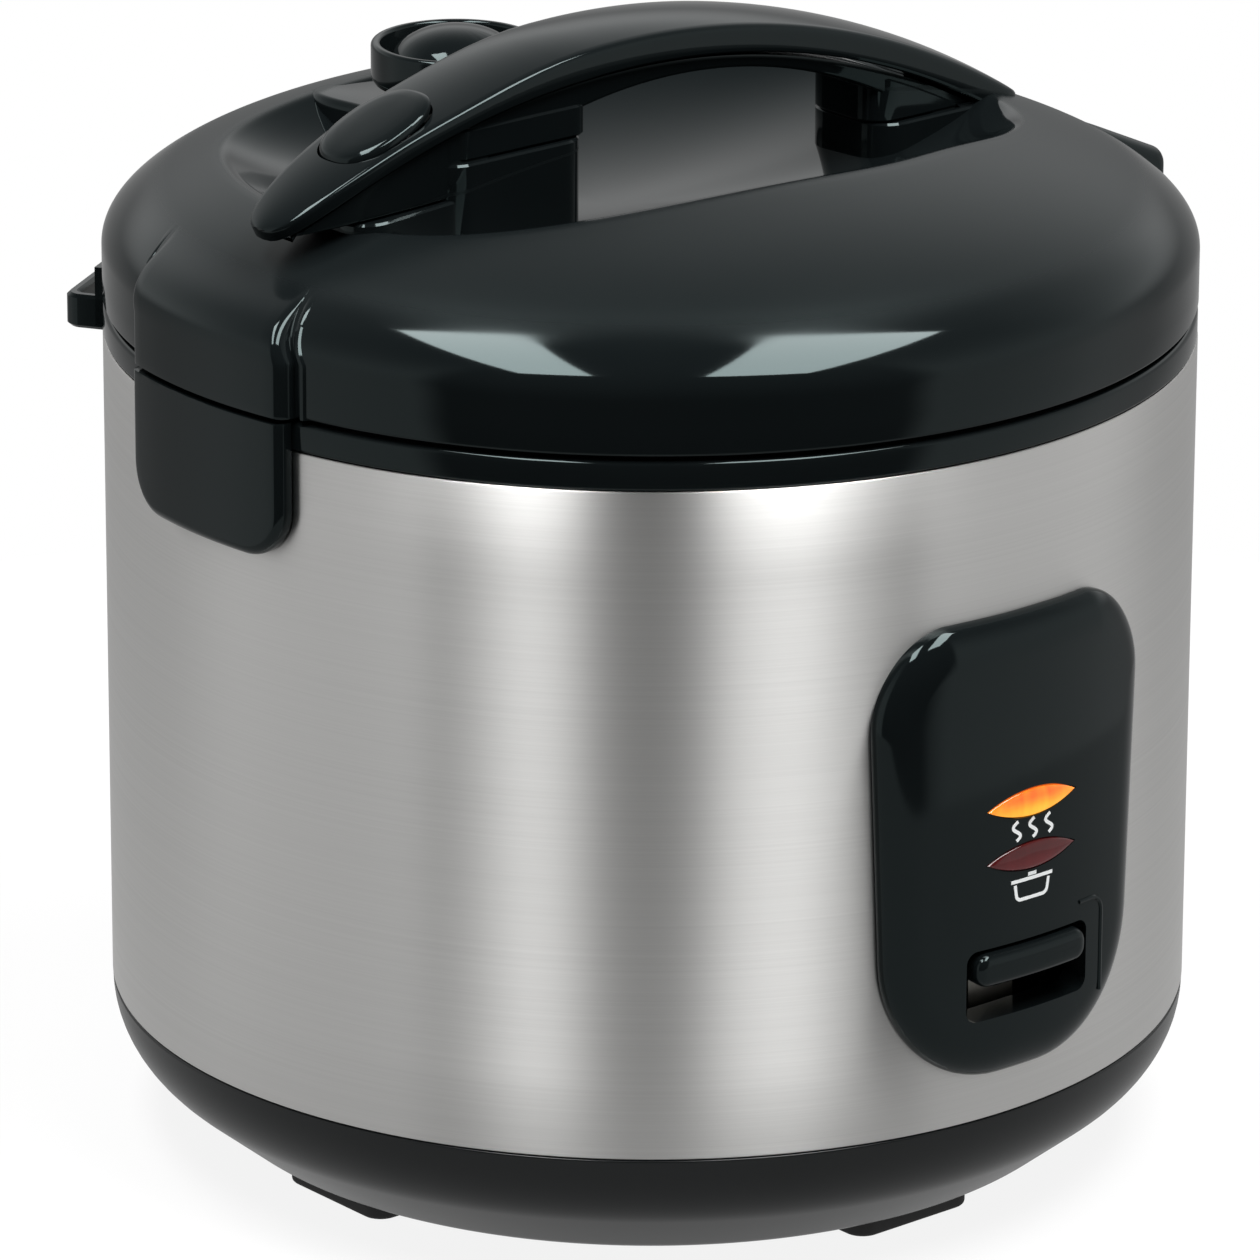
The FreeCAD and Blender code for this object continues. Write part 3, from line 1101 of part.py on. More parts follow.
def make_lid_inside():
    disc = rod("liner_disc", "body_radius - lid_wall - fit_gap", "liner_thick", z=LINER_Z)
    hole = rod("liner_vent", "sleeve_radius + run_gap", "4 * liner_thick", "vent_x", "vent_y",
               f"{LINER_Z} - liner_thick")
    slot = box("liner_slot", "-body_radius", "-hook_x + hook_boss + side_room", "-hook_half - side_room",
               "hook_half + side_room", f"{LINER_Z} - overcut", f"{LINER_TOP} + overcut")
    notch = box("liner_notch", "body_radius - 2 * lid_wall - side_room", "body_radius * 2",
                "-barrel_half - side_room", "barrel_half + side_room", f"{LINER_Z} - overcut",
                f"{LINER_TOP} + overcut")
    ears = [
        box(f"pin_ear_{name}", "-hook_x - hook_boss", "-hook_x + hook_boss", start, f"{start} + liner_ear",
            LINER_Z, f"{HOOK_Z} + hook_boss")
        for name, start in (("front", "-hook_half - fit_gap - liner_ear"), ("back", "hook_half + fit_gap"))
    ]
    bore = rod("ear_bore", "hook_pin_radius + run_gap", "6 * hook_half", "-hook_x", "-3 * hook_half",
               HOOK_Z, "Y")
    stud = rod("liner_stud", "stud_radius", "2 * stud_height", z=f"{LINER_Z} - stud_height")
    plain = cut("liner_plain", disc, hole, slot, notch)
    node("lid_liner", cut("lid_liner", fuse("liner_body", plain, *ears, stud), bore))
    node("latch_pin", rod("latch_pin", "hook_pin_radius", "2 * (hook_half + fit_gap + liner_ear)", "-hook_x",
                          "-hook_half - fit_gap - liner_ear", HOOK_Z, "Y"))
    seat_z = f"{SEAM_Z} + fit_gap"
    node("lid_seal", turned("lid_seal", [
        ("seal_inner", f"{SEAM_Z} - seal_drop"),
        ("seal_inner + seal_lip", f"{SEAM_Z} - seal_drop"),
        ("seal_inner + seal_lip", seat_z),
        ("seal_outer", seat_z),
        ("seal_outer", LINER_Z),
        ("seal_inner", LINER_Z),
    ]))
    tray_z = f"{LID_Z} - tray_drop - tray_thick"
    plate = tube("tray_disc", "seal_inner - joint_gap", "grommet_neck + joint_gap", tray_z,
                 f"{tray_z} + tray_thick")
    vents = []
    for degrees in range(0, 360, 45):
        vents.append(rod(f"tray_hole_{degrees}", "sleeve_radius / 3", "8 * tray_thick",
                         *polar("seal_inner * 0.6", str(degrees)), f"{tray_z} - 4 * tray_thick"))
    node("steam_plate", cut("steam_plate", plate, group("tray_holes", vents)))
    node("plate_grommet", cut("plate_grommet", turned("grommet_body", [
        ("0", f"{tray_z} - grommet_lip"),
        ("grommet_radius", f"{tray_z} - grommet_lip"),
        ("grommet_radius", f"{tray_z} - joint_gap / 2"),
        ("grommet_neck", f"{tray_z} - joint_gap / 2"),
        ("grommet_neck", f"{tray_z} + tray_thick + joint_gap / 2"),
        ("grommet_radius", f"{tray_z} + tray_thick + joint_gap / 2"),
        ("grommet_radius", LINER_Z),
        ("0", LINER_Z),
    ]), rod("grommet_bore", "stud_radius", "2 * stud_height", z=f"{LINER_Z} - stud_height")))
    node("steam_tube", tube("steam_tube", "sleeve_radius", "sleeve_radius - sleeve_wall", LINER_Z,
                            f"{VENT_Z} - lid_wall", "vent_x", "vent_y"))


# Steam vent

def make_vent():
    low = f"({VENT_Z} - vent_neck_drop)"
    waist = f"({VENT_Z} + vent_waist)"
    top = f"({VENT_Z} + vent_height)"
    cup = turned("vent_cup", [
        ("vent_neck - vent_neck_wall", low),
        ("vent_neck", low),
        ("vent_neck", f"{VENT_Z} + joint_gap"),
        ("vent_collar", f"{VENT_Z} + joint_gap"),
        ("vent_collar", waist),
        ("vent_radius", f"{waist} + vent_flare"),
        ("vent_radius", top),
        ("vent_radius - vent_wall", top),
        ("vent_radius - vent_wall", f"{waist} + vent_bottom"),
        ("vent_neck - vent_neck_wall", f"{waist} + vent_bottom"),
    ])
    node("vent_cup", place(cup, "vent_x", "vent_y"))
    floor = f"({waist} + vent_bottom)"
    reach = "(vent_radius - vent_wall - joint_gap)"
    dome = domed("vent_dome_form", reach, "vent_dome_rise - vent_dome_edge", floor,
                 f"{floor} + vent_dome_edge")
    holes = [
        rod(f"dome_hole_{degrees}", "vent_dome_hole", "2 * vent_height",
            *polar("vent_neck * 0.7", degrees), waist)
        for degrees in range(0, 360, 60)
    ]
    hollow = domed("vent_dome_room", f"{reach} - vent_dome_wall",
                   "vent_dome_rise - vent_dome_edge - vent_dome_wall", waist, f"{floor} + vent_dome_edge")
    node("vent_dome", place(cut("vent_dome", dome, hollow, group("dome_holes", holes)), "vent_x", "vent_y"))
    seal_z = f"{VENT_Z} - lid_wall"
    node("vent_seal", tube("vent_seal", "vent_neck + vent_seal_thick", "vent_neck", seal_z,
                           f"{seal_z} + vent_seal_height", "vent_x", "vent_y"))


# Handle, release button and latch hook

def arch(name, corners):
    """A full ring round the handle's arch, from (across, radius) corners of its section."""
    body = new_body(name)
    sketch = new_sketch(body, "YZ_Plane", "-handle_shift", HANDLE_Z)
    outline(sketch, corners)
    return revolve(body, sketch, "H_Axis")


def arch_bar(name, radius):
    """The solid under an arch, across the whole handle."""
    return rod(name, radius, "4 * handle_width", "-handle_shift", "-2 * handle_width", HANDLE_Z, "Y")


def handle_plan(name, half, front, rear, tip):
    corners = [(f"-{front}", f"-{half}", tip), (rear, f"-{half}", "seat_corner"),
               (rear, half, "seat_corner"), (f"-{front}", half, tip)]
    return padded(name, corners, LID_Z, f"{LID_Z} + 2 * handle_rise")


def under_scoop(x):
    """Height of the hollow's back face where a screw head on the handle's middle line meets it first."""
    along = f"((abs({x}) - screw_head) / (scoop_length + lid_wall))"
    across = "((scoop_shift - screw_head / 2) / (scoop_width + lid_wall))"
    return f"({LID_Z} + scoop_rise - (scoop_depth + lid_wall) * sqrt(1 - {along}^2 - {across}^2))"


def screw_top(x):
    """Height of a handle screw's tip above the lid's edge, under the top of the handle's lower half."""
    return f"(handle_rise - handle_curve + sqrt({GRIP_TOP}^2 - ({x} + handle_shift)^2) - screw_cover)"


def lid_skins(name):
    """The lid's outside as three forms that keep a joint's air from the handle."""
    dome = domed(f"{name}_dome", SKIN, "lid_crown + joint_gap", LID_Z, SHOULDER_Z)
    return [
        cut(f"{name}_over", dome, scoop(f"{name}_scoop", "-joint_gap")),
        lid_block(f"{name}_latch", "latch_proud", "-joint_gap", "-X"),
        lid_block(f"{name}_hinge", "hinge_proud", "-joint_gap", "+X"),
    ]


def make_handle():
    half = "handle_width / 2"
    crest = arch("handle_ring", [
        ("-" + half, "handle_curve - handle_thick"),
        (half, "handle_curve - handle_thick"),
        (half, "handle_curve - handle_crown", "handle_edge"),
        ("0", "handle_curve", "handle_width"),
        ("-" + half, "handle_curve - handle_crown", "handle_edge"),
    ])
    plan = handle_plan("handle_plan", half, "handle_front", "handle_rear", "handle_tip")
    well = button_prism("button_well", "button_gap")
    node("handle_top", cut("handle_top", shared("handle_bow", crest, plan), well, *lid_skins("bow_skin")))
    grip_half = "grip_width / 2"
    ring = arch("grip_ring", [
        ("-" + grip_half, "handle_curve - handle_thick - grip_thick"),
        (grip_half, "handle_curve - handle_thick - grip_thick"),
        (grip_half, GRIP_TOP),
        ("-" + grip_half, GRIP_TOP),
    ])
    nose = "grip_width * 0.45"
    grip_plan = handle_plan("grip_plan", grip_half, "web_front", "rear_post", nose)
    posts = [
        padded(f"{name}_post", oblong(low, high, "-" + grip_half, grip_half, "seat_corner"),
               f"{LID_Z} + {rise}", f"{LID_Z} + handle_rise")
        for name, low, high, rise in (
            ("front", "-front_post", "-gap_front", "front_seat + joint_gap"),
            ("rear", "gap_rear", "rear_post", "rear_seat + joint_gap"),
        )
    ]
    web = padded("web_post", [
        ("-web_front", "-" + grip_half, nose),
        ("-front_post + web_lap", "-" + grip_half),
        ("-front_post + web_lap", grip_half),
        ("-web_front", grip_half, nose),
    ], f"{LID_Z} + lid_crown * 0.8", f"{LID_Z} + handle_rise")
    feet = shared("handle_feet", fuse("handle_posts", *posts, web), arch_bar("grip_limit", GRIP_TOP))
    body = fuse("grip_body", shared("grip_bow", ring, grip_plan), feet)
    skins = seats("skin", "joint_gap") + lid_skins("grip_skin")
    well = rod("coil_well", "button_coil + button_wire + fit_gap", "2 * handle_rise", f"-{SPRING_X}", "0",
               SPRING_Z)
    bores = [
        rod(f"grip_bore_{name}", "screw_radius", screw_top(x), x, "0", LID_Z)
        for name, x in HANDLE_SCREWS.items()
    ]
    node("handle_base", cut("handle_base", body, *skins, well, stem_slot("grip_stem_hole"), *bores))
    screws = []
    for name, x in HANDLE_SCREWS.items():
        foot = under_scoop(x)
        reach = f"{LID_Z} + {screw_top(x)} - {foot}"
        shank = rod(f"handle_shank_{name}", "screw_radius", reach, x, "0", foot)
        head = rod(f"handle_head_{name}", "screw_head", "screw_head_height", x, "0",
                   f"{foot} - screw_head_height")
        screws.append(fuse(f"handle_screw_{name}", shank, head))
    node("handle_screws", group("handle_screws", screws))


def button_prism(name, grow):
    """The release button's outline, straight up through the handle."""
    half = f"(button_width / 2 + {grow})"
    reach = f"(button_length / 2 + {grow})"
    corners = oblong(f"-button_x - {reach}", f"-button_x + {reach}", f"-{half}", half, f"{half} * 0.9")
    return padded(name, corners, LID_Z, f"{LID_Z} + 2 * handle_rise")


def make_button():
    floor = "(handle_curve - handle_thick + button_travel + button_wall)"
    crown = arch_bar("button_top", "handle_curve + button_proud - handle_crown / 2")
    cap = cut("button_cap", shared("button_body", button_prism("button_form", "0"), crown),
              arch_bar("button_floor", floor))
    strip = box("stem_strip", "-stem_x - stem_half", "-stem_x + stem_half", "-stem_width / 2",
                "stem_width / 2", f"{HOOK_Z} + lever_thick / 2 + 2 * fit_gap", f"{LID_Z} + handle_rise")
    stem = shared("button_stem", strip, arch_bar("stem_top", f"{floor} + button_wall"))
    node("release_button", fuse("release_button", cap, stem))
    edge = f"({SPRING_X} - handle_shift + button_coil + button_wire)"
    top = f"({HANDLE_Z} + sqrt({floor}^2 - {edge}^2))"
    length = f"({top} - {SPRING_Z} - fit_gap)"
    node("button_spring", coil("button_spring", "button_coil", "button_wire", length, "button_turns",
                               f"-{SPRING_X}", "0", f"{SPRING_Z} + button_wire"))


def make_hook():
    low = f"({SEAM_Z} - rim_flange - fit_gap - joint_gap - hook_tip)"
    boss = rod("hook_boss", "hook_boss", "2 * hook_half", "-hook_x", "-hook_half", HOOK_Z, "Y")
    arm = box("hook_arm", "-hook_x", "-stem_x + stem_half + side_room", "-hook_half + side_room",
              "hook_half - side_room",
              f"{HOOK_Z} - lever_thick / 2", f"{HOOK_Z} + lever_thick / 2")
    inner = "(hook_x + hook_out)"
    shank = box("hook_shank", f"-{inner} - hook_shank", f"-{inner}", "-hook_half", "hook_half", low, HOOK_Z)
    tip = box("hook_tip", f"-{inner} - hook_shank", f"-{inner} + 2 * hook_bite", "-hook_half", "hook_half",
              low, f"{low} + hook_tip")
    hole = rod("hook_hole", "hook_pin_radius + run_gap", "4 * hook_half", "-hook_x", "-2 * hook_half",
               HOOK_Z, "Y")
    node("latch_hook", cut("latch_hook", fuse("hook_body", boss, arm, shank, tip), hole))


MAKERS = (
    make_base, make_feet, make_jacket, make_rim, make_ear, make_latch_cover, make_hinge_block,
    make_drum, make_plate, make_sensor, make_pot, make_switch, make_panel, make_inlet,
    make_lid, make_lid_inside, make_vent, make_handle, make_button, make_hook,
)
for make in MAKERS:
    make()
DOC.recompute()

# Every object has to be sound before anything is written

faults = [item.Label for item in DOC.Objects if "Invalid" in item.State or "Error" in item.State]
for name, item in PIECES.items():
    shape = item.Shape
    if shape.isNull() or not shape.isValid() or not shape.Solids:
        faults.append(name)
if faults:
    raise RuntimeError("unsound: " + ", ".join(faults))

for name, item in PIECES.items():
    item.Shape.exportStep(f"parts/{name}.step")
    print(name, len(item.Shape.Solids), round(item.Shape.Volume))
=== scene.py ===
# %% [markdown]
# # A jar rice cooker, from its frame to its looks
# The real cooker is a brushed-steel drum between a black bowl and a black domed lid, with an arched handle.
# Its construction is done elsewhere and comes in as a frame of named nodes that already move. This lesson
# dresses that frame: each piece that the eye meets is modelled again, finer, and stands for its node, and
# the pieces inside keep the frame's own meshes and only get a finish. The frame is loaded first. Nothing
# that is added may reach outside it.

# %% The frame
import json
import math

import bpy
import numpy as np
from mathutils import Matrix, Vector


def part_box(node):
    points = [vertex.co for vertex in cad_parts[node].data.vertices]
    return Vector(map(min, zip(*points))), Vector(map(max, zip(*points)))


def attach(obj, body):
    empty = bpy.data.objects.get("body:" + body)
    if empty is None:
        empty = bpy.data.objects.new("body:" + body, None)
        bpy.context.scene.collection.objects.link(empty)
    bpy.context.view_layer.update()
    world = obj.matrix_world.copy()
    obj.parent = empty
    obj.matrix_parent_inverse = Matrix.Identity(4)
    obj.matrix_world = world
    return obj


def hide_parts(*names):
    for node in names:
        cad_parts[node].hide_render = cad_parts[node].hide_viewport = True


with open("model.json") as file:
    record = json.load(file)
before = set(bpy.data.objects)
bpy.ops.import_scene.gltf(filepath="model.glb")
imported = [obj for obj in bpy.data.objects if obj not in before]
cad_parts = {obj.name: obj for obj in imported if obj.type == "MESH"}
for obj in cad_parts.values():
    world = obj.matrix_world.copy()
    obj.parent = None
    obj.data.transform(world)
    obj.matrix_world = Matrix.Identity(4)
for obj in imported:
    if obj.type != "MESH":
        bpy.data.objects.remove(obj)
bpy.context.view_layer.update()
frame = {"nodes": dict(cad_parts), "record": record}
MM = 0.001

# %% [markdown]
# ## Camera
# The photograph was taken from far off with a long lens, a little above the cooker and towards its left
# front corner. A camera could be moved until the outlines agree by eye. Here its place was worked out from
# the upper and lower ellipse of the steel, so the numbers are set at once.

# %% The camera
CAMERA_TURN = math.radians(40.5)
CAMERA_LENS, CAMERA_SENSOR = 258.4, 36
CAMERA_DISTANCE, CAMERA_HEIGHT = 2.0557, 0.8355
CAMERA_PAN, CAMERA_DIP, CAMERA_ROLL = 0.0022, 0.3340, 0.0040
TOWARDS_CAMERA = Vector((-math.sin(CAMERA_TURN), -math.cos(CAMERA_TURN), 0))
TO_THE_RIGHT = Vector((math.cos(CAMERA_TURN), -math.sin(CAMERA_TURN), 0))

bpy.ops.object.select_all(action="DESELECT")
bpy.ops.object.camera_add()
camera = bpy.context.object
camera.name = "camera"
camera.data.lens = CAMERA_LENS
camera.data.sensor_width = CAMERA_SENSOR
aim = (
    Matrix.Rotation(-CAMERA_TURN + CAMERA_PAN, 4, "Z")
    @ Matrix.Rotation(math.pi / 2 - CAMERA_DIP, 4, "X")
    @ Matrix.Rotation(CAMERA_ROLL, 4, "Z")
)
stand = TOWARDS_CAMERA * CAMERA_DISTANCE + Vector((0, 0, CAMERA_HEIGHT))
camera.matrix_world = Matrix.Translation(stand) @ aim
bpy.context.scene.camera = camera
bpy.context.scene.view_settings.view_transform = "Standard"
print("camera:", [round(value, 3) for value in camera.location])

# %% [markdown]
# ## Node expressions
# A finish is a tree of nodes, and its sums are easier to read as sums. One small class wraps a socket, so
# that adding or multiplying two of them adds a Math node. Everything else comes from one function that adds
# a node, sets its settings and then its sockets.

# %% Signals
class Signal:
    """A socket of a node tree. Sums and products of it add Math nodes."""

    def __init__(self, socket):
        self.socket = socket
        self.tree = socket.id_data

    def math(self, operation, first, second):
        return add(self.tree, "ShaderNodeMath", {"operation": operation}, {0: first, 1: second})

    def __add__(self, other):
        return self.math("ADD", self, other)

    def __radd__(self, other):
        return self.math("ADD", other, self)

    def __sub__(self, other):
        return self.math("SUBTRACT", self, other)

    def __rsub__(self, other):
        return self.math("SUBTRACT", other, self)

    def __mul__(self, other):
        return self.math("MULTIPLY", self, other)

    def __rmul__(self, other):
        return self.math("MULTIPLY", other, self)


def add(tree, kind, settings=None, sockets=None, out=0):
    """Adds a node, with its settings first and its sockets after them, and gives one of its outputs."""
    node = tree.nodes.new(kind)
    for name, value in (settings or {}).items():
        setattr(node, name, value)
    for name, value in (sockets or {}).items():
        if isinstance(value, Signal):
            tree.links.new(value.socket, node.inputs[name])
        else:
            node.inputs[name].default_value = value
    return Signal(node.outputs[out]) if node.outputs else None


def span(tree, value, low, high, start=0.0, end=1.0):
    """Maps low..high to start..end, softly at both ends."""
    return add(tree, "ShaderNodeMapRange", {"interpolation_type": "SMOOTHSTEP"},
               {"Value": value, "From Min": low, "From Max": high, "To Min": start, "To Max": end})


print("signals ready")

# %% [markdown]
# ## Studio
# The cooker stands on white paper under two long soft lights, and what it mirrors is the studio: pale walls
# at its sides and behind, dim overhead, dark towards the camera. The two lights make the upright bands on
# the steel and the two windows on the lid's front. The world could be one grey, but a black gloss lid then
# looks flat, so the world is shaded by direction. The camera itself sees plain white.

# %% The world
world = bpy.data.worlds.new("studio")
bpy.context.scene.world = world
world.use_nodes = True
sky = world.node_tree
sky.nodes.clear()
DARK_WALL = Matrix.Rotation(math.radians(6), 3, "Z") @ TOWARDS_CAMERA
SIDE_WALL_LIGHT, DARK_WALL_LIGHT, OVERHEAD_SHARE = 0.64, 0.05, 0.09
BACK_WALL_LOW, BACK_WALL_HIGH = 0.34, 0.95
direction = add(sky, "ShaderNodeTexCoord", out="Generated")
flat = add(sky, "ShaderNodeVectorMath", {"operation": "MULTIPLY"}, {0: direction, 1: (1, 1, 0)})
level_way = add(sky, "ShaderNodeVectorMath", {"operation": "NORMALIZE"}, {0: flat})
ahead = add(sky, "ShaderNodeVectorMath", {"operation": "DOT_PRODUCT"},
            {0: level_way, 1: tuple(DARK_WALL)}, "Value")
rise = add(sky, "ShaderNodeSeparateXYZ", {}, {0: direction}, "Z")
dark = span(sky, ahead, 0.55, 0.68)
behind = span(sky, ahead, -0.1, -0.6)
back_wall = span(sky, rise, 0.1, 0.35, BACK_WALL_LOW, BACK_WALL_HIGH)
walls = SIDE_WALL_LIGHT + behind * (back_wall - SIDE_WALL_LIGHT)
dimmed = span(sky, rise, 0.2, 0.95, 1.0, OVERHEAD_SHARE)
strength = walls * dimmed * (1 - dark) + dark * DARK_WALL_LIGHT
seen = add(sky, "ShaderNodeLightPath", out="Is Camera Ray")
through = add(sky, "ShaderNodeLightPath", out="Is Transmission Ray")
room = add(sky, "ShaderNodeBackground", {}, {"Color": (1, 1, 1, 1), "Strength": strength})
paper = add(sky, "ShaderNodeBackground", {}, {"Color": (1, 1, 1, 1), "Strength": 1})
both = add(sky, "ShaderNodeMixShader", {}, {0: seen + through, 1: room, 2: paper})
add(sky, "ShaderNodeOutputWorld", {}, {"Surface": both})
print("world nodes:", len(sky.nodes))

# %% The floor and the two soft lights
FLOOR_RADIUS, FLOOR_SHADE, FLOOR_MIRRORED = 0.45, 0.12, 0.45
bpy.ops.mesh.primitive_circle_add(vertices=128, radius=FLOOR_RADIUS, fill_type="NGON")
floor = bpy.context.object
floor.name = "floor"
paper_white = bpy.data.materials.new("paper_white")
paper_white.use_nodes = True
tree = paper_white.node_tree
tree.nodes.clear()
glow = add(tree, "ShaderNodeEmission", {}, {"Color": (1, 1, 1, 1), "Strength": 1})
sheet = add(tree, "ShaderNodeBsdfDiffuse", {}, {"Color": (0.9, 0.9, 0.9, 1)})
bright = add(tree, "ShaderNodeMixShader", {}, {0: FLOOR_SHADE, 1: glow, 2: sheet})
dull = add(tree, "ShaderNodeEmission", {}, {"Color": (1, 1, 1, 1), "Strength": FLOOR_MIRRORED})
mirrored = add(tree, "ShaderNodeLightPath", out="Is Glossy Ray")
add(tree, "ShaderNodeOutputMaterial", {},
    {"Surface": add(tree, "ShaderNodeMixShader", {}, {0: mirrored, 1: bright, 2: dull})})
floor.data.materials.append(paper_white)

LIGHTS = [("soft_light_left", -0.41, 0.34, 18.5), ("soft_light_right", 0.48, 0.5, 26)]
LIGHT_HEIGHT, LIGHT_AHEAD, LIGHT_DEPTH = 1.34, 0.4, 1.1
for name, aside, width, watts in LIGHTS:
    place = TOWARDS_CAMERA * LIGHT_AHEAD + TO_THE_RIGHT * aside + Vector((0, 0, LIGHT_HEIGHT))
    bpy.ops.object.light_add(type="AREA", location=place, rotation=(0, 0, -CAMERA_TURN))
    lamp = bpy.context.object
    lamp.name = name
    lamp.data.shape = "RECTANGLE"
    lamp.data.size = width
    lamp.data.size_y = LIGHT_DEPTH
    lamp.data.energy = watts
    lamp.visible_camera = False
print("lights:", len(LIGHTS))

# %% [markdown]
# ## Ways of making
# Most pieces start as a primitive. A round one is a circle that is extruded and scaled along its section,
# as a potter pulls up a wall. A plate that hugs the steel is an outline with rings drawn inside it. A
# freely curved one is a grid whose points follow a rule. These helpers keep the operators short, and each
# closes its seams and turns its faces outwards.

# %% Helpers that select, close and finish
def pick(piece):
    """Leaves one piece selected and active."""
    bpy.ops.object.select_all(action="DESELECT")
    piece.select_set(True)
    bpy.context.view_layer.objects.active = piece


def added(name):
    """Names the primitive that was just added and moves its place into its mesh."""
    piece = bpy.context.object
    piece.name = name
    piece.data.name = name
    pick(piece)
    bpy.ops.object.transform_apply(location=True, rotation=True, scale=True)
    return piece


def edit(piece, *steps):
    """Runs operators on all of a mesh in edit mode."""
    pick(piece)
    bpy.ops.object.mode_set(mode="EDIT")
    for step in steps:
        bpy.ops.mesh.select_all(action="SELECT")
        step()
    bpy.ops.object.mode_set(mode="OBJECT")


def smooth(piece, angle=32):
    """Shades a piece smooth but for its sharp edges."""
    pick(piece)
    bpy.ops.object.shade_smooth_by_angle(angle=math.radians(angle))
    return piece


def sealed(piece, angle=32):
    """Closes seams, poles and open ends, and turns the faces outwards."""
    edit(
        piece,
        lambda: bpy.ops.mesh.remove_doubles(threshold=2e-6),
        lambda: bpy.ops.mesh.fill_holes(sides=0),
        lambda: bpy.ops.mesh.normals_make_consistent(inside=False),
    )
    return smooth(piece, angle)


def modified(piece, kind, **settings):
    """Adds a modifier and applies it."""
    pick(piece)
    modifier = piece.modifiers.new(kind.lower(), kind)
    for name, value in settings.items():
        setattr(modifier, name, value)
    bpy.ops.object.modifier_apply(modifier=modifier.name)
    return piece


def carved(piece, cutter, angle=32):
    """Cuts one closed mesh out of another and removes the cutter."""
    modified(piece, "BOOLEAN", operation="DIFFERENCE", solver="EXACT", object=cutter)
    bpy.data.objects.remove(cutter)
    return smooth(piece, angle)


print("helpers ready")

# %% Helpers that shape
POLE = 0.001


def turned(name, section, steps=192, centre=(0, 0)):
    """A round piece: a circle extruded and scaled along (radius, height) points, in millimetres."""
    bpy.ops.object.select_all(action="DESELECT")
    x, y = (value * MM for value in centre)
    radius, height = section[0]
    start = (x, y, height * MM)
    bpy.ops.mesh.primitive_circle_add(vertices=steps, radius=max(radius, POLE) * MM, location=start)
    piece = added(name)
    bpy.ops.object.mode_set(mode="EDIT")
    bpy.ops.mesh.select_all(action="SELECT")
    for next_radius, next_height in section[1:]:
        bpy.ops.mesh.extrude_edges_move(TRANSFORM_OT_translate={"value": (0, 0, (next_height - height) * MM)})
        share = max(next_radius, POLE) / max(radius, POLE)
        bpy.ops.transform.resize(value=(share, share, 1), center_override=(x, y, 0))
        radius, height = next_radius, next_height
    bpy.ops.object.mode_set(mode="OBJECT")
    return sealed(piece)


def laid(name, rows, closed=True):
    """A grid whose rows of points are given, in millimetres. A closed row meets its own start."""
    across = len(rows[0]) - (0 if closed else 1)
    bpy.ops.object.select_all(action="DESELECT")
    bpy.ops.mesh.primitive_grid_add(x_subdivisions=across, y_subdivisions=len(rows) - 1, size=1)
    piece = added(name)
    places = [place for row in rows for place in ([*row, row[0]] if closed else row)]
    piece.data.vertices.foreach_set("co", (np.array(places, float) * MM).ravel())
    piece.data.update()
    return sealed(piece)


def rounded(corners, steps=8):
    """Points of an outline. A corner is two coordinates, or two and a radius where it is rounded."""
    points = []
    for index, corner in enumerate(corners):
        spot = Vector(corner[:2])
        if len(corner) == 2:
            points.append(tuple(spot))
            continue
        back = (Vector(corners[index - 1][:2]) - spot).normalized()
        ahead = (Vector(corners[(index + 1) % len(corners)][:2]) - spot).normalized()
        half = back.angle(ahead) / 2
        middle = spot + (back + ahead).normalized() * (corner[2] / math.sin(half))
        start = spot + back * (corner[2] / math.tan(half)) - middle
        end = spot + ahead * (corner[2] / math.tan(half)) - middle
        first = math.atan2(start.y, start.x)
        sweep = (math.atan2(end.y, end.x) - first + math.pi) % (2 * math.pi) - math.pi
        for step in range(steps + 1):
            angle = first + sweep * step / steps
            points.append((middle.x + corner[2] * math.cos(angle), middle.y + corner[2] * math.sin(angle)))
    return points


def even(points, count):
    """A closed outline cut into equal steps."""
    loop = np.array([*points, points[0]], float)
    run = np.concatenate([[0], np.cumsum(np.hypot(*np.diff(loop, axis=0).T))])
    marks = np.linspace(0, run[-1], count, endpoint=False)
    return np.stack([np.interp(marks, run, loop[:, 0]), np.interp(marks, run, loop[:, 1])], 1)


def inset(outline, depth):
    """A closed outline, counter-clockwise, drawn inwards by a depth."""
    along = np.roll(outline, -1, 0) - np.roll(outline, 1, 0)
    inwards = np.stack([-along[:, 1], along[:, 0]], 1) / np.hypot(*along.T)[:, None]
    return outline + inwards * depth


def block(name, low, high, corner, soft=0.5, along=2):
    """A box between two points, in millimetres, its edges along one axis rounded and its other edges soft."""
    low, high = Vector(low) * MM, Vector(high) * MM
    bpy.ops.object.select_all(action="DESELECT")
    bpy.ops.mesh.primitive_cube_add(size=1, location=(low + high) / 2, scale=high - low)
    piece = added(name)
    bpy.ops.object.mode_set(mode="EDIT")
    bpy.ops.mesh.select_mode(type="EDGE")
    bpy.ops.mesh.select_all(action="DESELECT")
    bpy.ops.object.mode_set(mode="OBJECT")
    for edge in piece.data.edges:
        start, end = (piece.data.vertices[index].co for index in edge.vertices)
        edge.select = abs(start[along] - end[along]) > 1e-6
    bpy.ops.object.mode_set(mode="EDIT")
    bpy.ops.mesh.bevel(offset=corner * MM, segments=8, affect="EDGES")
    bpy.ops.object.mode_set(mode="OBJECT")
    modified(piece, "BEVEL", width=soft * MM, segments=3, limit_method="ANGLE", angle_limit=math.radians(50))
    return smooth(piece)


print("shaping helpers ready")

# %% [markdown]
# ## Finishes
# Each finish of the real cooker is a small tree of its own: black polished plastic with faint moulding
# waves, steel brushed round the body, cast and spun aluminium, plated sheet, rubber, clear lenses. One base
# colour per piece would be enough to tell them apart, but real surfaces vary, so noise on the piece's own
# coordinates changes roughness, tone and relief a little. What is the same all over is set on the shader
# itself.

# %% Helpers for finishes
FINISH = {}


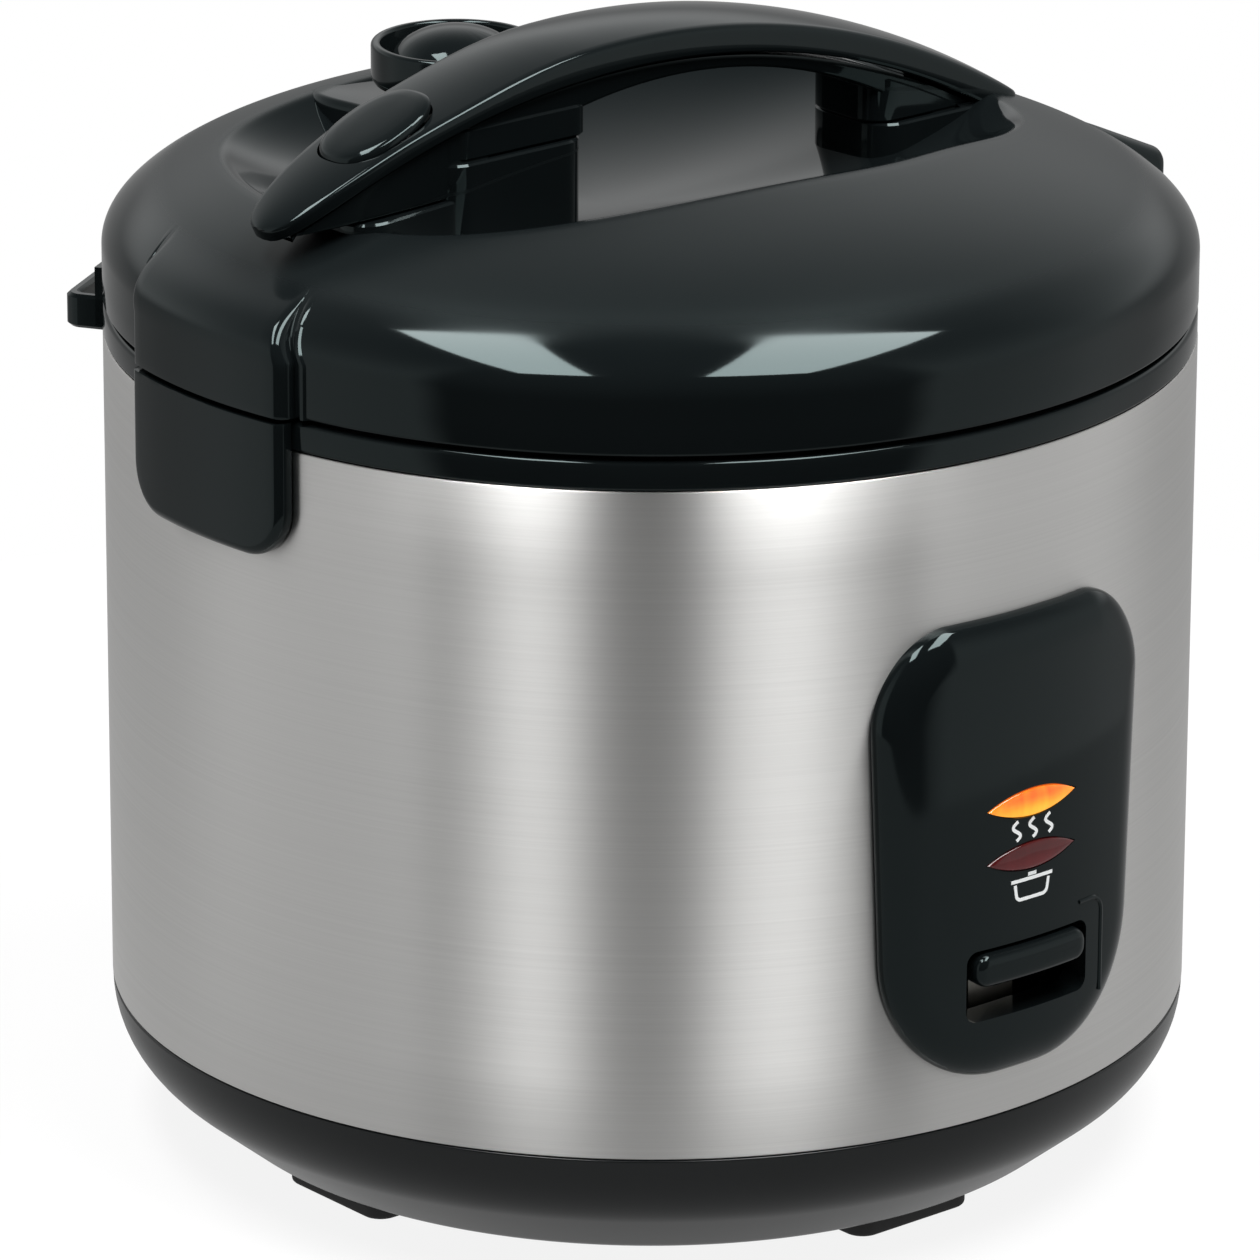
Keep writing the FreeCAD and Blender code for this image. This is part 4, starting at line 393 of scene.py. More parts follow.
def new_finish(slot, constants):
    """A material with a Principled shader and the values that are the same all over."""
    material = bpy.data.materials.new(slot)
    material.use_nodes = True
    shader = material.node_tree.nodes["Principled BSDF"]
    for name, value in constants.items():
        shader.inputs[name].default_value = value
    FINISH[slot] = material
    return material.node_tree, shader


def feed(shader, **signals):
    """Links signals to sockets of a shader, an underscore standing for a space."""
    for name, signal in signals.items():
        shader.id_data.links.new(signal.socket, shader.inputs[name.replace("_", " ")])


def grain(tree, scale, stretch=(1, 1, 1), detail=2.0):
    """Noise on the piece's own coordinates, stretched along some of them."""
    own = add(tree, "ShaderNodeTexCoord", out="Object")
    scales = tuple(scale * value for value in stretch)
    fitted = add(tree, "ShaderNodeMapping", {}, {"Vector": own, "Scale": scales})
    return add(tree, "ShaderNodeTexNoise", {}, {"Vector": fitted, "Scale": 1.0, "Detail": detail}, "Fac")


def tone(tree, amount, dark, light):
    """A colour between two."""
    return add(tree, "ShaderNodeMix", {"data_type": "RGBA"},
               {"Factor": amount, 6: (*dark, 1), 7: (*light, 1)}, 2)


def relief(tree, height, strength, distance=0.0002):
    """A normal that follows a height."""
    return add(tree, "ShaderNodeBump", {}, {"Height": height, "Strength": strength, "Distance": distance})


def moulded(slot, colour, rough, waves=0.02, texture=0.0, **constants):
    """Moulded plastic or rubber: faint waves, a fine texture where it has one, and uneven gloss."""
    named = {name.replace("_", " "): value for name, value in constants.items()}
    tree, shader = new_finish(slot, {"IOR": 1.49, **named})
    wide = grain(tree, 28)
    fine = grain(tree, 900, detail=1)
    lighter = tuple(min(1, value * 1.12 + 0.001) for value in colour)
    feed(shader, Base_Color=tone(tree, wide, colour, lighter),
         Roughness=rough * 0.85 + (wide * 0.2 + fine * 0.1) * rough,
         Normal=relief(tree, wide * waves + fine * texture, 0.5))


def metal(slot, colour, rough, stretch=(1, 1, 1), scale=300, spread=0.3, depth=0.1):
    """Bare metal with its working marks: even grain, or lines where the grain is stretched."""
    tree, shader = new_finish(slot, {"Metallic": 1.0})
    marks = grain(tree, scale, stretch, 3)
    wide = grain(tree, 30)
    darker = tuple(value * 0.84 for value in colour)
    feed(shader, Base_Color=tone(tree, wide * 0.5 + marks * 0.5, darker, colour),
         Roughness=rough * (1 - spread) + (marks + wide) * (rough * spread),
         Normal=relief(tree, marks, depth, 0.0001))


print("finish helpers ready")

# %% Plastics, rubber and plain metals
moulded("black_gloss", (0.0032, 0.0045, 0.0049), 0.06, waves=0.006, IOR=1.45,
        Specular_IOR_Level=0.32, Specular_Tint=(0.8, 1, 1, 1))
moulded("black_base", (0.005, 0.0062, 0.0065), 0.22, waves=0.02, texture=0.01, Specular_IOR_Level=0.36)
moulded("foot_rubber", (0.012, 0.012, 0.012), 0.75, texture=0.3)
moulded("white_plastic", (0.72, 0.71, 0.67), 0.4, texture=0.03)
moulded("dark_plastic", (0.016, 0.017, 0.018), 0.4, texture=0.1)
moulded("grey_plastic", (0.3, 0.31, 0.31), 0.42, texture=0.06)
moulded("white_seal", (0.66, 0.66, 0.62), 0.55, texture=0.05)
moulded("hook_plastic", (0.05, 0.05, 0.055), 0.35, texture=0.05)
moulded("dark_ferrite", (0.03, 0.029, 0.028), 0.6, texture=0.3)
moulded("white_print", (0.8, 0.82, 0.82), 0.5)
metal("bright_pin", (0.66, 0.66, 0.65), 0.22, (1, 0.05, 1), 900)
metal("spring_steel", (0.5, 0.5, 0.5), 0.3)
metal("drum_steel", (0.55, 0.56, 0.57), 0.38, (1, 1, 1), 120, 0.4)
metal("plated_steel", (0.62, 0.6, 0.54), 0.33, (1, 1, 1), 400)
metal("cast_aluminium", (0.6, 0.6, 0.6), 0.5, (1, 1, 1), 700, 0.4, 0.25)
metal("element_steel", (0.3, 0.27, 0.25), 0.4)
metal("pin_brass", (0.72, 0.55, 0.28), 0.28, (1, 0.05, 1), 900)
print("finishes:", len(FINISH))

# %% [markdown]
# ## Brushed steel
# The jacket is brushed round the body, so every scratch runs level. Light is smeared across the scratches,
# which means up and down, and a lamp high above becomes a bright upright band. A plain rough metal would
# blur it into a spot. The shader's anisotropy, turned by a quarter, does the smearing, and noise that is
# squeezed along the height draws the scratches.

# %% Brushed steel and spun aluminium
tree, shader = new_finish(
    "brushed_steel", {"Metallic": 1.0, "Anisotropic": 1.0, "Anisotropic Rotation": 0.25})
hairline = grain(tree, 6, (1, 1, 260), 4)
scratch = grain(tree, 3, (1, 1, 1200), 2)
mark = hairline * 0.6 + scratch * 0.4
feed(shader, Base_Color=tone(tree, mark, (0.72, 0.715, 0.7), (0.86, 0.855, 0.84)),
     Roughness=0.37 + mark * 0.06, Normal=relief(tree, mark, 0.03, 0.0001))

tree, shader = new_finish("spun_aluminium", {"Metallic": 1.0})
own = add(tree, "ShaderNodeTexCoord", out="Object")
reach = add(tree, "ShaderNodeVectorMath", {"operation": "LENGTH"}, {0: own}, "Value")
rings = add(tree, "ShaderNodeTexNoise", {"noise_dimensions": "1D"},
            {"W": reach * 2200, "Scale": 1.0, "Detail": 2.0}, "Fac")
feed(shader, Base_Color=tone(tree, rings, (0.55, 0.55, 0.55), (0.7, 0.7, 0.69)),
     Roughness=0.26 + rings * 0.16, Normal=relief(tree, rings, 0.08, 0.0001))
print("finishes:", len(FINISH))

# %% [markdown]
# ## Lenses
# The two indicator lenses are clear coloured caps, the upper one lit amber and the lower one dark. Real
# ones let light through. Here the lit one glows a little, brighter towards its lower edge where its lamp
# sits, which reads the same from all sides and survives the export. The dark one glows faintly too and is
# lighter towards its lower edge, a painted glow, as it has no lit lamp.

# %% Lens and lamp finishes
WARM_LENS, COOK_LENS = 117, 104


def lens_finish(slot, edge, lower_glow_colour, glow, height):
    """A lens that glows, from its edge colour above a height to its lower glow colour below it. On an unlit
    lens this is a painted glow.
    """
    tree, shader = new_finish(slot, {"Roughness": 0.06, "IOR": 1.5, "Emission Strength": glow})
    own = add(tree, "ShaderNodeTexCoord", out="Object")
    level = add(tree, "ShaderNodeSeparateXYZ", {}, {0: own}, "Z")
    facets = grain(tree, 420, (1, 1, 0.25), 1)
    # Lighter towards the lower edge: the lamp's light on the lit lens, a painted glow on the unlit one.
    low = span(tree, level, height + 0.0018, height - 0.0024)
    warm = tone(tree, low * 0.7 + facets * 0.35, edge, lower_glow_colour)
    feed(shader, Base_Color=warm, Emission_Color=warm)


lens_finish("amber_lens", (0.62, 0.06, 0.008), (1.0, 0.42, 0.03), 0.75, WARM_LENS * MM)
# The red lens is unlit, yet it glows faintly and is lighter below: a painted glow.
lens_finish("red_lens", (0.035, 0.004, 0.004), (0.1, 0.008, 0.01), 0.25, COOK_LENS * MM)
moulded("lamp_glass", (0.75, 0.6, 0.5), 0.1)
print("finishes:", len(FINISH))

# %% Frame nodes take their finish
for row in frame["record"]["subparts"]:
    mesh = frame["nodes"][row["node"]].data
    mesh.materials.clear()
    mesh.materials.append(FINISH[row["material_slot"]])
print("dressed nodes:", len(frame["nodes"]))


def fit(piece, body, slot, *nodes):
    """Gives a piece its finish and its body, and lets it stand for frame nodes."""
    piece.data.materials.clear()
    piece.data.materials.append(FINISH[slot])
    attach(piece, body)
    if nodes:
        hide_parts(*nodes)
    print(piece.name, len(piece.data.polygons), "faces")
    return piece

# %% [markdown]
# ## Steel jacket
# The jacket is a sheet rolled into a drum, with its two edges folded in a little so that they catch the
# light. It has openings behind the switch and the power inlet. A cylinder primitive would do for the drum,
# but the folded edges are quicker to draw as a section, and the two openings are cut afterwards.

# %% The steel jacket
BODY = 130
jacket = turned("steel_wall", [
    (129.2, 38.9), (129.3, 38.4), (129.55, 38.15), (129.8, 38.3), (BODY, 38.8),
    (BODY, 60), (BODY, 120), (BODY, 180),
    (BODY, 199.2), (129.8, 199.7), (129.55, 199.85), (129.3, 199.6), (129.2, 199.1), (129.2, 38.9),
], 288)
carved(jacket, block("opening", (-24, -140, 62), (24, -100, 126), 2))
carved(jacket, block("opening", (-14.8, 100, 44.2), (14.8, 140, 65.8), 2))
fit(jacket, "cooker", "brushed_steel", "steel_jacket")

# %% [markdown]
# ## Bowl, feet and ring
# The black bowl closes the drum from below: an upright belt, a long round and a flat floor with air slots.
# The ring closes it from above around the pot. Both are turned. A slot is a long box, cut out at each turn.
# Each foot is a soft-cornered pad with a sunk middle, so that it grips the table with its edge.

# %% The base bowl
bowl = turned("base_bowl", rounded([
    (0, 5), (104, 5, 12), (129.9, 26, 24), (129.9, 37.9, 0.6), (127.4, 37.9), (127.4, 27.4, 22),
    (103, 7.5, 10), (0, 7.5),
], 10), 224)
for turn in range(15, 360, 30):
    slot = block("air_slot", (-2, 47, 0), (2, 69, 12), 1.9, 0.1)
    slot.data.transform(Matrix.Rotation(math.radians(turn), 4, "Z"))
    carved(bowl, slot)
fit(bowl, "cooker", "black_base", "base_housing")

# %% The feet
for node in ("foot_front", "foot_hinge", "foot_back", "foot_latch"):
    low, high = (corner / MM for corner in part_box(node))
    foot = block(node.replace("foot", "pad"), low, high + Vector((0, 0, 1.2)), 5, 1)
    middle = block("sunk_middle", low + Vector((4, 4, -2)), (high.x - 4, high.y - 4, 0.8), 3, 0.3)
    carved(foot, middle)
    fit(foot, "cooker", "foot_rubber", node)

# %% The ring above the steel
ring = turned("rim_band", rounded([
    (117, 204), (117, 207, 1.2), (122, 207, 1), (122.6, 206.4, 0.4), (124.2, 206.4, 0.4), (124.8, 207, 0.4),
    (129.9, 207, 1.4), (129.9, 200, 0.8), (127, 200), (127, 204), (117, 204),
], 5), 224)
carved(ring, block("keeper", (-133, -8, 198), (-122.3, 8, 209), 1, 0.2))
fit(ring, "cooker", "black_gloss", "rim_ring")

# %% [markdown]
# ## Lid
# The lid is a low dome on an upright side, with a wide hollow sunk into it for the hand. The rim of the
# hollow is a crisp crease, nearly straight on the near side, with a turn at each end. A boolean cut would
# leave ragged faces along that crease, and black gloss shows every one. So the mesh is laid in rings about
# the hollow's middle: rings inside the hollow, a few that round the crease, rings down the dome, and the
# side.

# %% The lid's rules
SHOULDER, CROWN = 221, 31.7
HOLLOW = Vector((1.6, 14.9))
HOLLOW_FLOOR = 225.5
RIM_TURN, RIM_LONG, RIM_WIDE, RIM_POWER = math.radians(7.1), 97, 72, 2.78
DENTS = [(152, 4.2, 17), (-56, 3.8, 15)]


def dome(x, y):
    """Height of the dome over a point of the plan."""
    return SHOULDER + CROWN * math.sqrt(max(0, 1 - (x * x + y * y) / BODY**2))


def rim_reach(angle):
    """Reach of the hollow's rim from its middle: a soft-cornered oval, turned, with two flatter places."""
    own = angle + RIM_TURN
    reach = (abs(math.cos(own) / RIM_LONG)**RIM_POWER + abs(math.sin(own) / RIM_WIDE)**RIM_POWER)
    reach = reach**(-1 / RIM_POWER)
    for middle, depth, width in DENTS:
        aside = (math.degrees(angle) - middle + 180) % 360 - 180
        reach -= depth * math.exp(-(aside / width)**2)
    return reach


def out_to(angle, radius):
    """The point at a distance from the lid's axis, along a line from the hollow's middle."""
    way = Vector((math.cos(angle), math.sin(angle)))
    along = HOLLOW.dot(way)
    return HOLLOW + way * (math.sqrt(along**2 - HOLLOW.length_squared + radius**2) - along)


def in_hollow(angle, share):
    """A point of the hollow, from its middle to its rim."""
    rim = HOLLOW + Vector((math.cos(angle), math.sin(angle))) * rim_reach(angle)
    spot = HOLLOW.lerp(rim, share)
    sink = (1 - math.sqrt(1 - (0.9 * share)**2)) / (1 - math.sqrt(1 - 0.9**2))
    return Vector((spot.x, spot.y, HOLLOW_FLOOR + (dome(rim.x, rim.y) - HOLLOW_FLOOR) * sink))


def on_dome(angle, share):
    """A point of the dome, from the hollow's rim to the lid's side."""
    rim = HOLLOW + Vector((math.cos(angle), math.sin(angle))) * rim_reach(angle)
    start = math.asin(min(1, rim.length / BODY))
    spot = out_to(angle, BODY * math.sin(start + (math.pi / 2 - start) * share))
    return Vector((spot.x, spot.y, dome(spot.x, spot.y)))


print("hollow rim reach:", [round(rim_reach(math.radians(turn))) for turn in range(0, 360, 45)])

# %% The dome is duller than the rest
tree = FINISH["black_gloss"].node_tree
shader = tree.nodes["Principled BSDF"]
own = add(tree, "ShaderNodeTexCoord", out="Object")
level = add(tree, "ShaderNodeSeparateXYZ", {}, {0: own}, "Z")
DULL_FROM, DULL_FULL, DULLER = 0.2305, 0.2365, 0.26
unit = (1 / (BODY * MM), 1 / (BODY * MM), 1 / (CROWN * MM))
shaped = add(tree, "ShaderNodeVectorMath", {"operation": "MULTIPLY_ADD"},
             {0: own, 1: unit, 2: (0, 0, -SHOULDER / CROWN)})
shell = add(tree, "ShaderNodeVectorMath", {"operation": "LENGTH"}, {0: shaped}, "Value")
on_shell = span(tree, shell, 0.98, 0.995) * (1 - span(tree, shell, 1.005, 1.02))
dull = on_shell * span(tree, level, DULL_FROM, DULL_FULL)
feed(shader, Roughness=Signal(shader.inputs["Roughness"].links[0].from_socket) + dull * DULLER)
print("black gloss nodes:", len(tree.nodes))

# %% The lid
LID_STEPS, CREASE_START, CREASE_END = 320, 0.975, 0.05
around = [math.radians(step * 360 / LID_STEPS) for step in range(LID_STEPS)]
rows = [[in_hollow(angle, share) for angle in around] for share in np.linspace(0, CREASE_START, 22)]
for bend in np.linspace(0.2, 0.8, 4):
    row = []
    for angle in around:
        start, tip = in_hollow(angle, CREASE_START), in_hollow(angle, 1)
        end = on_dome(angle, CREASE_END)
        row.append(start.lerp(tip, bend).lerp(tip.lerp(end, bend), bend))
    rows.append(row)
rows += [[on_dome(angle, share) for angle in around] for share in np.linspace(CREASE_END, 1, 30)]
lid_side = [(BODY, 218), (BODY, 214), (BODY, 208.1, 0.8), (127, 208.1, 0.3), (126.8, 214), (60, 214),
            (POLE, 214)]
for radius, height in rounded(lid_side, 4):
    rows.append([(*out_to(angle, BODY) * (radius / BODY), height) for angle in around])
lid = laid("lid_cover", rows)
fit(lid, "lid", "black_gloss", "lid_shell")

# %% [markdown]
# ## Latch bulge and hinge ramp
# At the latch the lid swells out over the cover below it. The swelling stands proud at the side, runs up
# over the shoulder, leaning a little, and sinks into the dome, with a soft groove along each edge. It is a
# patch of its own, laid off the lid's surface, with rounded flanks that dive under the dome, so the groove
# appears where the two surfaces meet. Over the hinge the lid runs out in a straight ramp instead. That one
# is a side view drawn across from flank to flank, and a notch below leaves room for the hinge's barrels and
# spring.

# %% The bulge at the latch
def off_lid(turn, height, proud):
    """Reach and height of a point off the lid: off its side below the shoulder, off its dome above it."""
    if turn <= 0:
        return BODY + proud, height
    normal = Vector((math.cos(turn) / BODY, math.sin(turn) / CROWN)).normalized()
    return BODY * math.cos(turn) + proud * normal.x, SHOULDER + CROWN * math.sin(turn) + proud * normal.y


LATCH_TURN, LATCH_LEAN = -1.4, 9
GROOVE_AND_LIP = [(0.2, -0.2), (1, -0.25), (1.5, 0.05), (2.1, 0.16), (2.9, 0.14), (3.8, -0.2)]


def bulge(name, proud, half, foot, end=0.46, flank=2.4):
    """A patch that swells off the lid towards -X and fades into the dome, a groove and a lip beside it."""
    right = [(across, 1) for across in np.linspace(0, half - flank, 10)[:-1]]
    for turn in np.linspace(0, math.pi / 2, 8):
        right.append((half - flank + flank * math.sin(turn), 0.25 + 0.75 * math.cos(turn)))
    right += [(half + beside, share) for beside, share in GROOVE_AND_LIP]
    across = [(-y, share) for y, share in reversed(right[1:])] + right
    levels = [(0, foot, -2), (0, foot, 0.9), (0, foot + 0.3, 0.98), (0, foot + 0.9, 1)]
    levels += [(0, height, 1) for height in np.linspace(foot + 2.5, SHOULDER, 6)]
    for turn in np.linspace(0, end, 30)[1:]:
        fade = max(0, (turn - 0.04) / (end - 0.04))
        levels.append((turn, 0, 1 - fade * fade * (3 - 2 * fade)))
    levels.append((end + 0.03, 0, -0.4))
    rows = []
    for turn, height, swell in levels:
        row = []
        for y, share in across:
            swelling = min(share, swell) if swell < 0 else share * swell
            reach, level = off_lid(turn, height, proud * swelling)
            leaning = y + LATCH_LEAN * turn / end
            row.append((-math.sqrt(reach**2 - leaning**2), leaning, level))
        rows.append(row)
    return laid(name, rows, closed=False)


latch = bulge("lid_latch_bulge", 4.4, 28.5, 208.1)
latch.data.transform(Matrix.Rotation(math.radians(LATCH_TURN), 4, "Z"))
fit(latch, "lid", "black_gloss")

# %% The ramp over the hinge
RAMP_START, RAMP_END, RAMP_FOOT, RAMP_HALF, RAMP_FLANK = 104, 138.2, 209.8, 30, 3


def ramp(x):
    """Height of the ramp, which starts under the dome and leaves it in a straight slope."""
    return 237.2 - 0.447 * (x - 109) - 0.02 * max(0, 116 - x)**2


slope = [(x, ramp(x)) for x in np.linspace(RAMP_END - 7, RAMP_START, 16)]
hinge_side = even(rounded([
    (RAMP_START, 226), (127, RAMP_FOOT), (RAMP_END, RAMP_FOOT, 0.8), (RAMP_END, ramp(RAMP_END), 5), *slope,
], 8), 160)
hinge_rows = []
for turn in np.linspace(-math.pi / 2, math.pi / 2, 18):
    y = math.copysign(RAMP_HALF - RAMP_FLANK, turn) + RAMP_FLANK * math.sin(turn)
    hinge_rows.append([(x, y, z) for x, z in inset(hinge_side, RAMP_FLANK * (1 - math.cos(turn)))])
hinge = laid("lid_hinge_bulge", hinge_rows)
hinge.data.transform(Matrix.Rotation(math.radians(LATCH_TURN), 4, "Z"))
carved(hinge, block("barrel_room", (126, -18.4, 200), (145, 18.4, 224.7), 1, 0.2))
fit(hinge, "lid", "black_gloss")

# %% [markdown]
# ## Plates that hug the steel
# The latch cover and the control panel are shells that follow the round body, with soft edges. Either could
# be a flat box that is bent, but bending needs a window. An outline is drawn instead in arc length and
# height, and rings of it step inwards as they rise, which gives the edge any section. The rings are then
# wrapped round.

# %% A plate
def wrapped(run, height, proud, turn, face):
    """A point at a run along the face and a height, standing proud of the steel."""
    angle = math.radians(turn) + run / face
    return ((BODY + proud) * math.cos(angle), (BODY + proud) * math.sin(angle), height)


def plate(name, outline, edge, turn, face, spine):
    """A plate from its outline, its edge as (inset, proud) steps, and the line that its face shrinks to."""
    rings = [(inset(outline, depth), proud) for depth, proud in edge]
    last, proud = rings[-1]
    middle = np.clip(last, spine[0], spine[1])
    rings += [(last + (middle - last) * share, proud) for share in np.linspace(0.08, 0.96, 12)]
    rows = [[wrapped(run, height, proud, turn, face) for run, height in ring] for ring, proud in rings]
    return laid(name, rows)


def soft_edge(foot, top, width, steps=8):
    """A straight foot and a quarter round, as (inset, proud) steps."""
    edge = [(0, 0.3), (0, foot)]
    for turn in np.linspace(0, math.pi / 2, steps + 1)[1:]:
        edge.append((width * (1 - math.cos(turn)), foot + (top - foot) * math.sin(turn)))
    return edge


print("panel edge:", [(round(a, 1), round(b, 1)) for a, b in soft_edge(1, 6.5, 9)])

# %% The latch cover
def cover(name, turn, half, proud, low, top):
    """A round-cornered plate, drawn taller than it is and cut level at its top."""
    corner, past, soft = 12, top + 12, 2.6
    outline = rounded([(-half, low, corner), (half, low, corner), (half, past, 2), (-half, past, 2)], 12)
    piece = plate(name, even(outline, 160), soft_edge(proud - soft, proud, soft), turn, BODY + proud,
                  ((0, low + 18), (0, top)))
    edit(piece, lambda: bpy.ops.mesh.bisect(
        plane_co=(0, 0, top * MM), plane_no=(0, 0, 1), use_fill=True, clear_outer=True))
    modified(piece, "BEVEL", width=0.4 * MM, segments=2, limit_method="ANGLE", angle_limit=math.radians(60))
    return smooth(piece)


shield = cover("latch_shield", 180 + LATCH_TURN, 28.8, 4.6, 173.5, 207)
carved(shield, block("hook_room", (-131.5, -8.2, 196), (-125, 8.2, 209), 1, 0.2))
fit(shield, "cooker", "black_gloss", "latch_cover")

# %% [markdown]
# ## Control panel
# The panel is a pillow of black plastic with an arched top, a round foot and a wide soft edge that mirrors
# the lights at its upper corner. The switch sits in a window and the two lenses in leaf-shaped sinks, so
# these are cut out of the finished pillow. A thin raised bead frames the switch at its right.

# %% The panel
FRONT, FACE = -90, 136.5
panel_outline = []
for run, height in rounded([(-38, 50, 33), (38, 50, 33), (43, 158.5, 19), (-43, 158.5, 19)], 16):
    lift = 5 * max(0, 1 - (run / 43)**2) * min(1, max(0, (height - 135) / 20))
    panel_outline.append((run, height + lift))
panel = plate("panel_face", even(panel_outline, 288), soft_edge(0.8, 6.5, 9.5, 12), FRONT, FACE,
              ((0, 95), (0, 118)))


def prism(name, outline, near, far):
    """A straight bar along Y from an outline in X and Z."""
    return laid(name, [[(x, y, z) for x, z in outline] for y in (near, far)])


def leaf(middle, half, rise, count=24):
    """A pointed leaf outline, from two arcs."""
    bend = (half**2 + rise**2) / (2 * rise)
    top = [(x, middle + math.sqrt(bend**2 - x**2) - bend + rise) for x in np.linspace(half, -half, count)]
    return top + [(x, 2 * middle - z) for x, z in reversed(top[1:-1])]


carved(panel, block("window", (-18.75, -150, 66), (18.75, -115, 83.5), 3, 0.2, along=1))
for height in (WARM_LENS, COOK_LENS):
    carved(panel, prism("lens_sink", leaf(height, 14.1, 3.55), -150, -135))
fit(panel, "cooker", "black_gloss", "control_panel")

# %% The switch knob
knob_outline = even(rounded([(-17, 74.5, 3.4), (17, 74.5, 3.4), (17, 82.5, 3.4), (-17, 82.5, 3.4)], 10), 144)
knob_edge = [(0, 0.6), (0, 6.6), (0.25, 7.6), (0.8, 8.3), (1.6, 8.6), (2.6, 8.65)]
knob = plate("switch_paddle", knob_outline, knob_edge, FRONT, FACE + 2, ((-13.5, 78.5), (13.5, 78.5)))
fit(knob, "lever", "black_gloss", "switch_knob")

# %% The lenses
def lens(name, height):
    """A leaf-shaped cap, domed."""
    outline = np.array(leaf(height, 13.5, 3.2))
    steps = [(1, 4.4), (1, 6.55), (0.97, 6.75), (0.88, 6.95), (0.7, 7.15), (0.45, 7.28), (0.2, 7.33)]
    rows = []
    for share, proud in steps:
        shrunk = (outline - (0, height)) * share + (0, height)
        rows.append([wrapped(run, level, proud, FRONT, FACE) for run, level in shrunk])
    return laid(name, rows)


fit(lens("amber_cap", WARM_LENS), "cooker", "amber_lens", "warm_lens")
fit(lens("red_cap", COOK_LENS), "cooker", "red_lens", "cook_lens")

# %% [markdown]
# ## Printed signs and the bead
# On the real panel each lens has a printed word under it. Words aren't copied here. Two plain signs take
# their place: three waves of steam for the upper lens, and a lidded pot for the lower one. Each stroke is a
# strip that follows a line on the panel's face. The raised bead beside the switch is made the same way,
# with a round back.

# %% Strips on the panel
def strip(name, line, half, back):
    """A strip along a line on the panel's face. back lists (across, proud) points of its section."""
    line = np.array(line, float)
    along = np.gradient(line, axis=0)
    sideways = np.stack([-along[:, 1], along[:, 0]], 1) / np.hypot(*along.T)[:, None]
    rows = []
    for spot, side in zip(line, sideways):
        rows.append([wrapped(*(spot + side * half * across), proud, FRONT, FACE) for across, proud in back])
    return laid(name, rows)


def joined(name, pieces):
    """Several meshes as one piece."""
    pick(pieces[0])
    for piece in pieces:
        piece.select_set(True)
    bpy.ops.object.join()
    pieces[0].name = name
    return pieces[0]


FLAT = [(-1, 6.3), (-1, 6.57), (1, 6.57), (1, 6.3)]
sway = np.linspace(0, 6.6, 24)
waves = [[(x + 1.1 * math.sin(turn), 108.3 + 0.72 * turn) for turn in sway] for x in (-5, 0, 5)]
pot = [
    rounded([(-5.2, 97.4), (-4.6, 93.6, 1.4), (4.6, 93.6, 1.4), (5.2, 97.4)], 6),
    [(x, 98.3) for x in np.linspace(-6.4, 6.4, 8)],
    [(x, 99.4) for x in np.linspace(-1.3, 1.3, 4)],
]
for name, lines in (("sign_keep_warm", waves), ("sign_cook", pot)):
    sign = joined(name, [strip("stroke", line, 0.42, FLAT) for line in lines])
    fit(sign, "cooker", "white_print")

ROUND = [(-1, 6.3), (-0.95, 6.6), (-0.6, 6.85), (0, 6.95), (0.6, 6.85), (0.95, 6.6), (1, 6.3)]
corner = rounded([(16, 88), (24.2, 88, 4), (24.2, 64)], 8)
bead_line = [(16, 88), (18, 88), *corner[1:-1], (24.2, 76), (24.2, 64)]
fit(strip("switch_bead", bead_line, 0.55, ROUND), "cooker", "black_gloss")

# %% [markdown]
# ## Handle
# The handle is an arch in two halves. The upper half has a low crown, a crease and a skirt at each side,
# and narrows to a blunt, drooping tip at the front. The lower half is a narrower beam under it, with posts
# that stand on raised seats in the lid's hollow. An array bent along a curve would stretch the tip. The
# arch is part of a circle, so each cross-section is placed on it directly, narrowed, thinned and lowered
# towards the tip.

# %% The handle's arch
ARCH = (-16, 46.6)
TIP, TIP_LENGTH, REAR, REAR_LENGTH = -120, 100, 107.5, 5
HALF_WIDTH, CREASE, RIDGE, SOLE = 14.4, 13.2, 230, 222


def on_arch(x, radius):
    """Height of the arch at a place along the lid."""
    return ARCH[1] + math.sqrt(radius**2 - (x - ARCH[0])**2)


def droop(x):
    """How far the handle's front hangs below the arch."""
    return (max(0, -60 - x) / 40)**2


def tapered(x):
    """Share of the handle's full width at a place: it narrows to a blunt tip."""
    return (1 - max(0, 1 - (x - TIP) / TIP_LENGTH)**3)**(1 / 3)


turns = np.linspace(0, math.pi / 2, 25)
stations = [(x, tapered(x)) for x in [TIP + TIP_LENGTH * (1 - math.cos(turn)) for turn in turns]]
stations += [(x, 1) for x in np.linspace(TIP + TIP_LENGTH, REAR - REAR_LENGTH, 36)[1:-1]]
for turn in turns[::-2]:
    stations.append((REAR - REAR_LENGTH * (1 - math.cos(turn)), 0.72 + 0.28 * math.sin(turn)))
crown = [(across, RIDGE - 1.3 * (across / CREASE)**2) for across in np.linspace(0, CREASE, 12)]
half = crown + [(13.75, 228.4), (14.1, 227.95), (14.32, 227.3), (HALF_WIDTH, 226.5), (HALF_WIDTH, 223.1),
                (14.3, 222.4), (14, 222.05), (13.5, SOLE)]
section = [*half, *[(-across, radius) for across, radius in reversed(half[1:])]]
rows = []
for x, width in stations:
    sine = (x - ARCH[0]) / RIDGE
    ease = min(1, max(0, (-30 - x) / 45))
    thick = (1 - 0.34 * ease * ease * (3 - 2 * ease)) * (0.55 + 0.45 * width if x < 0 else 1)
    row = []
    for across, radius in section:
        out = SOLE + (radius - SOLE) * thick
        row.append((ARCH[0] + out * sine, across * width, ARCH[1] + out * math.sqrt(1 - sine**2) - droop(x)))
    rows.append(row)
bow = laid("handle_bow", rows)


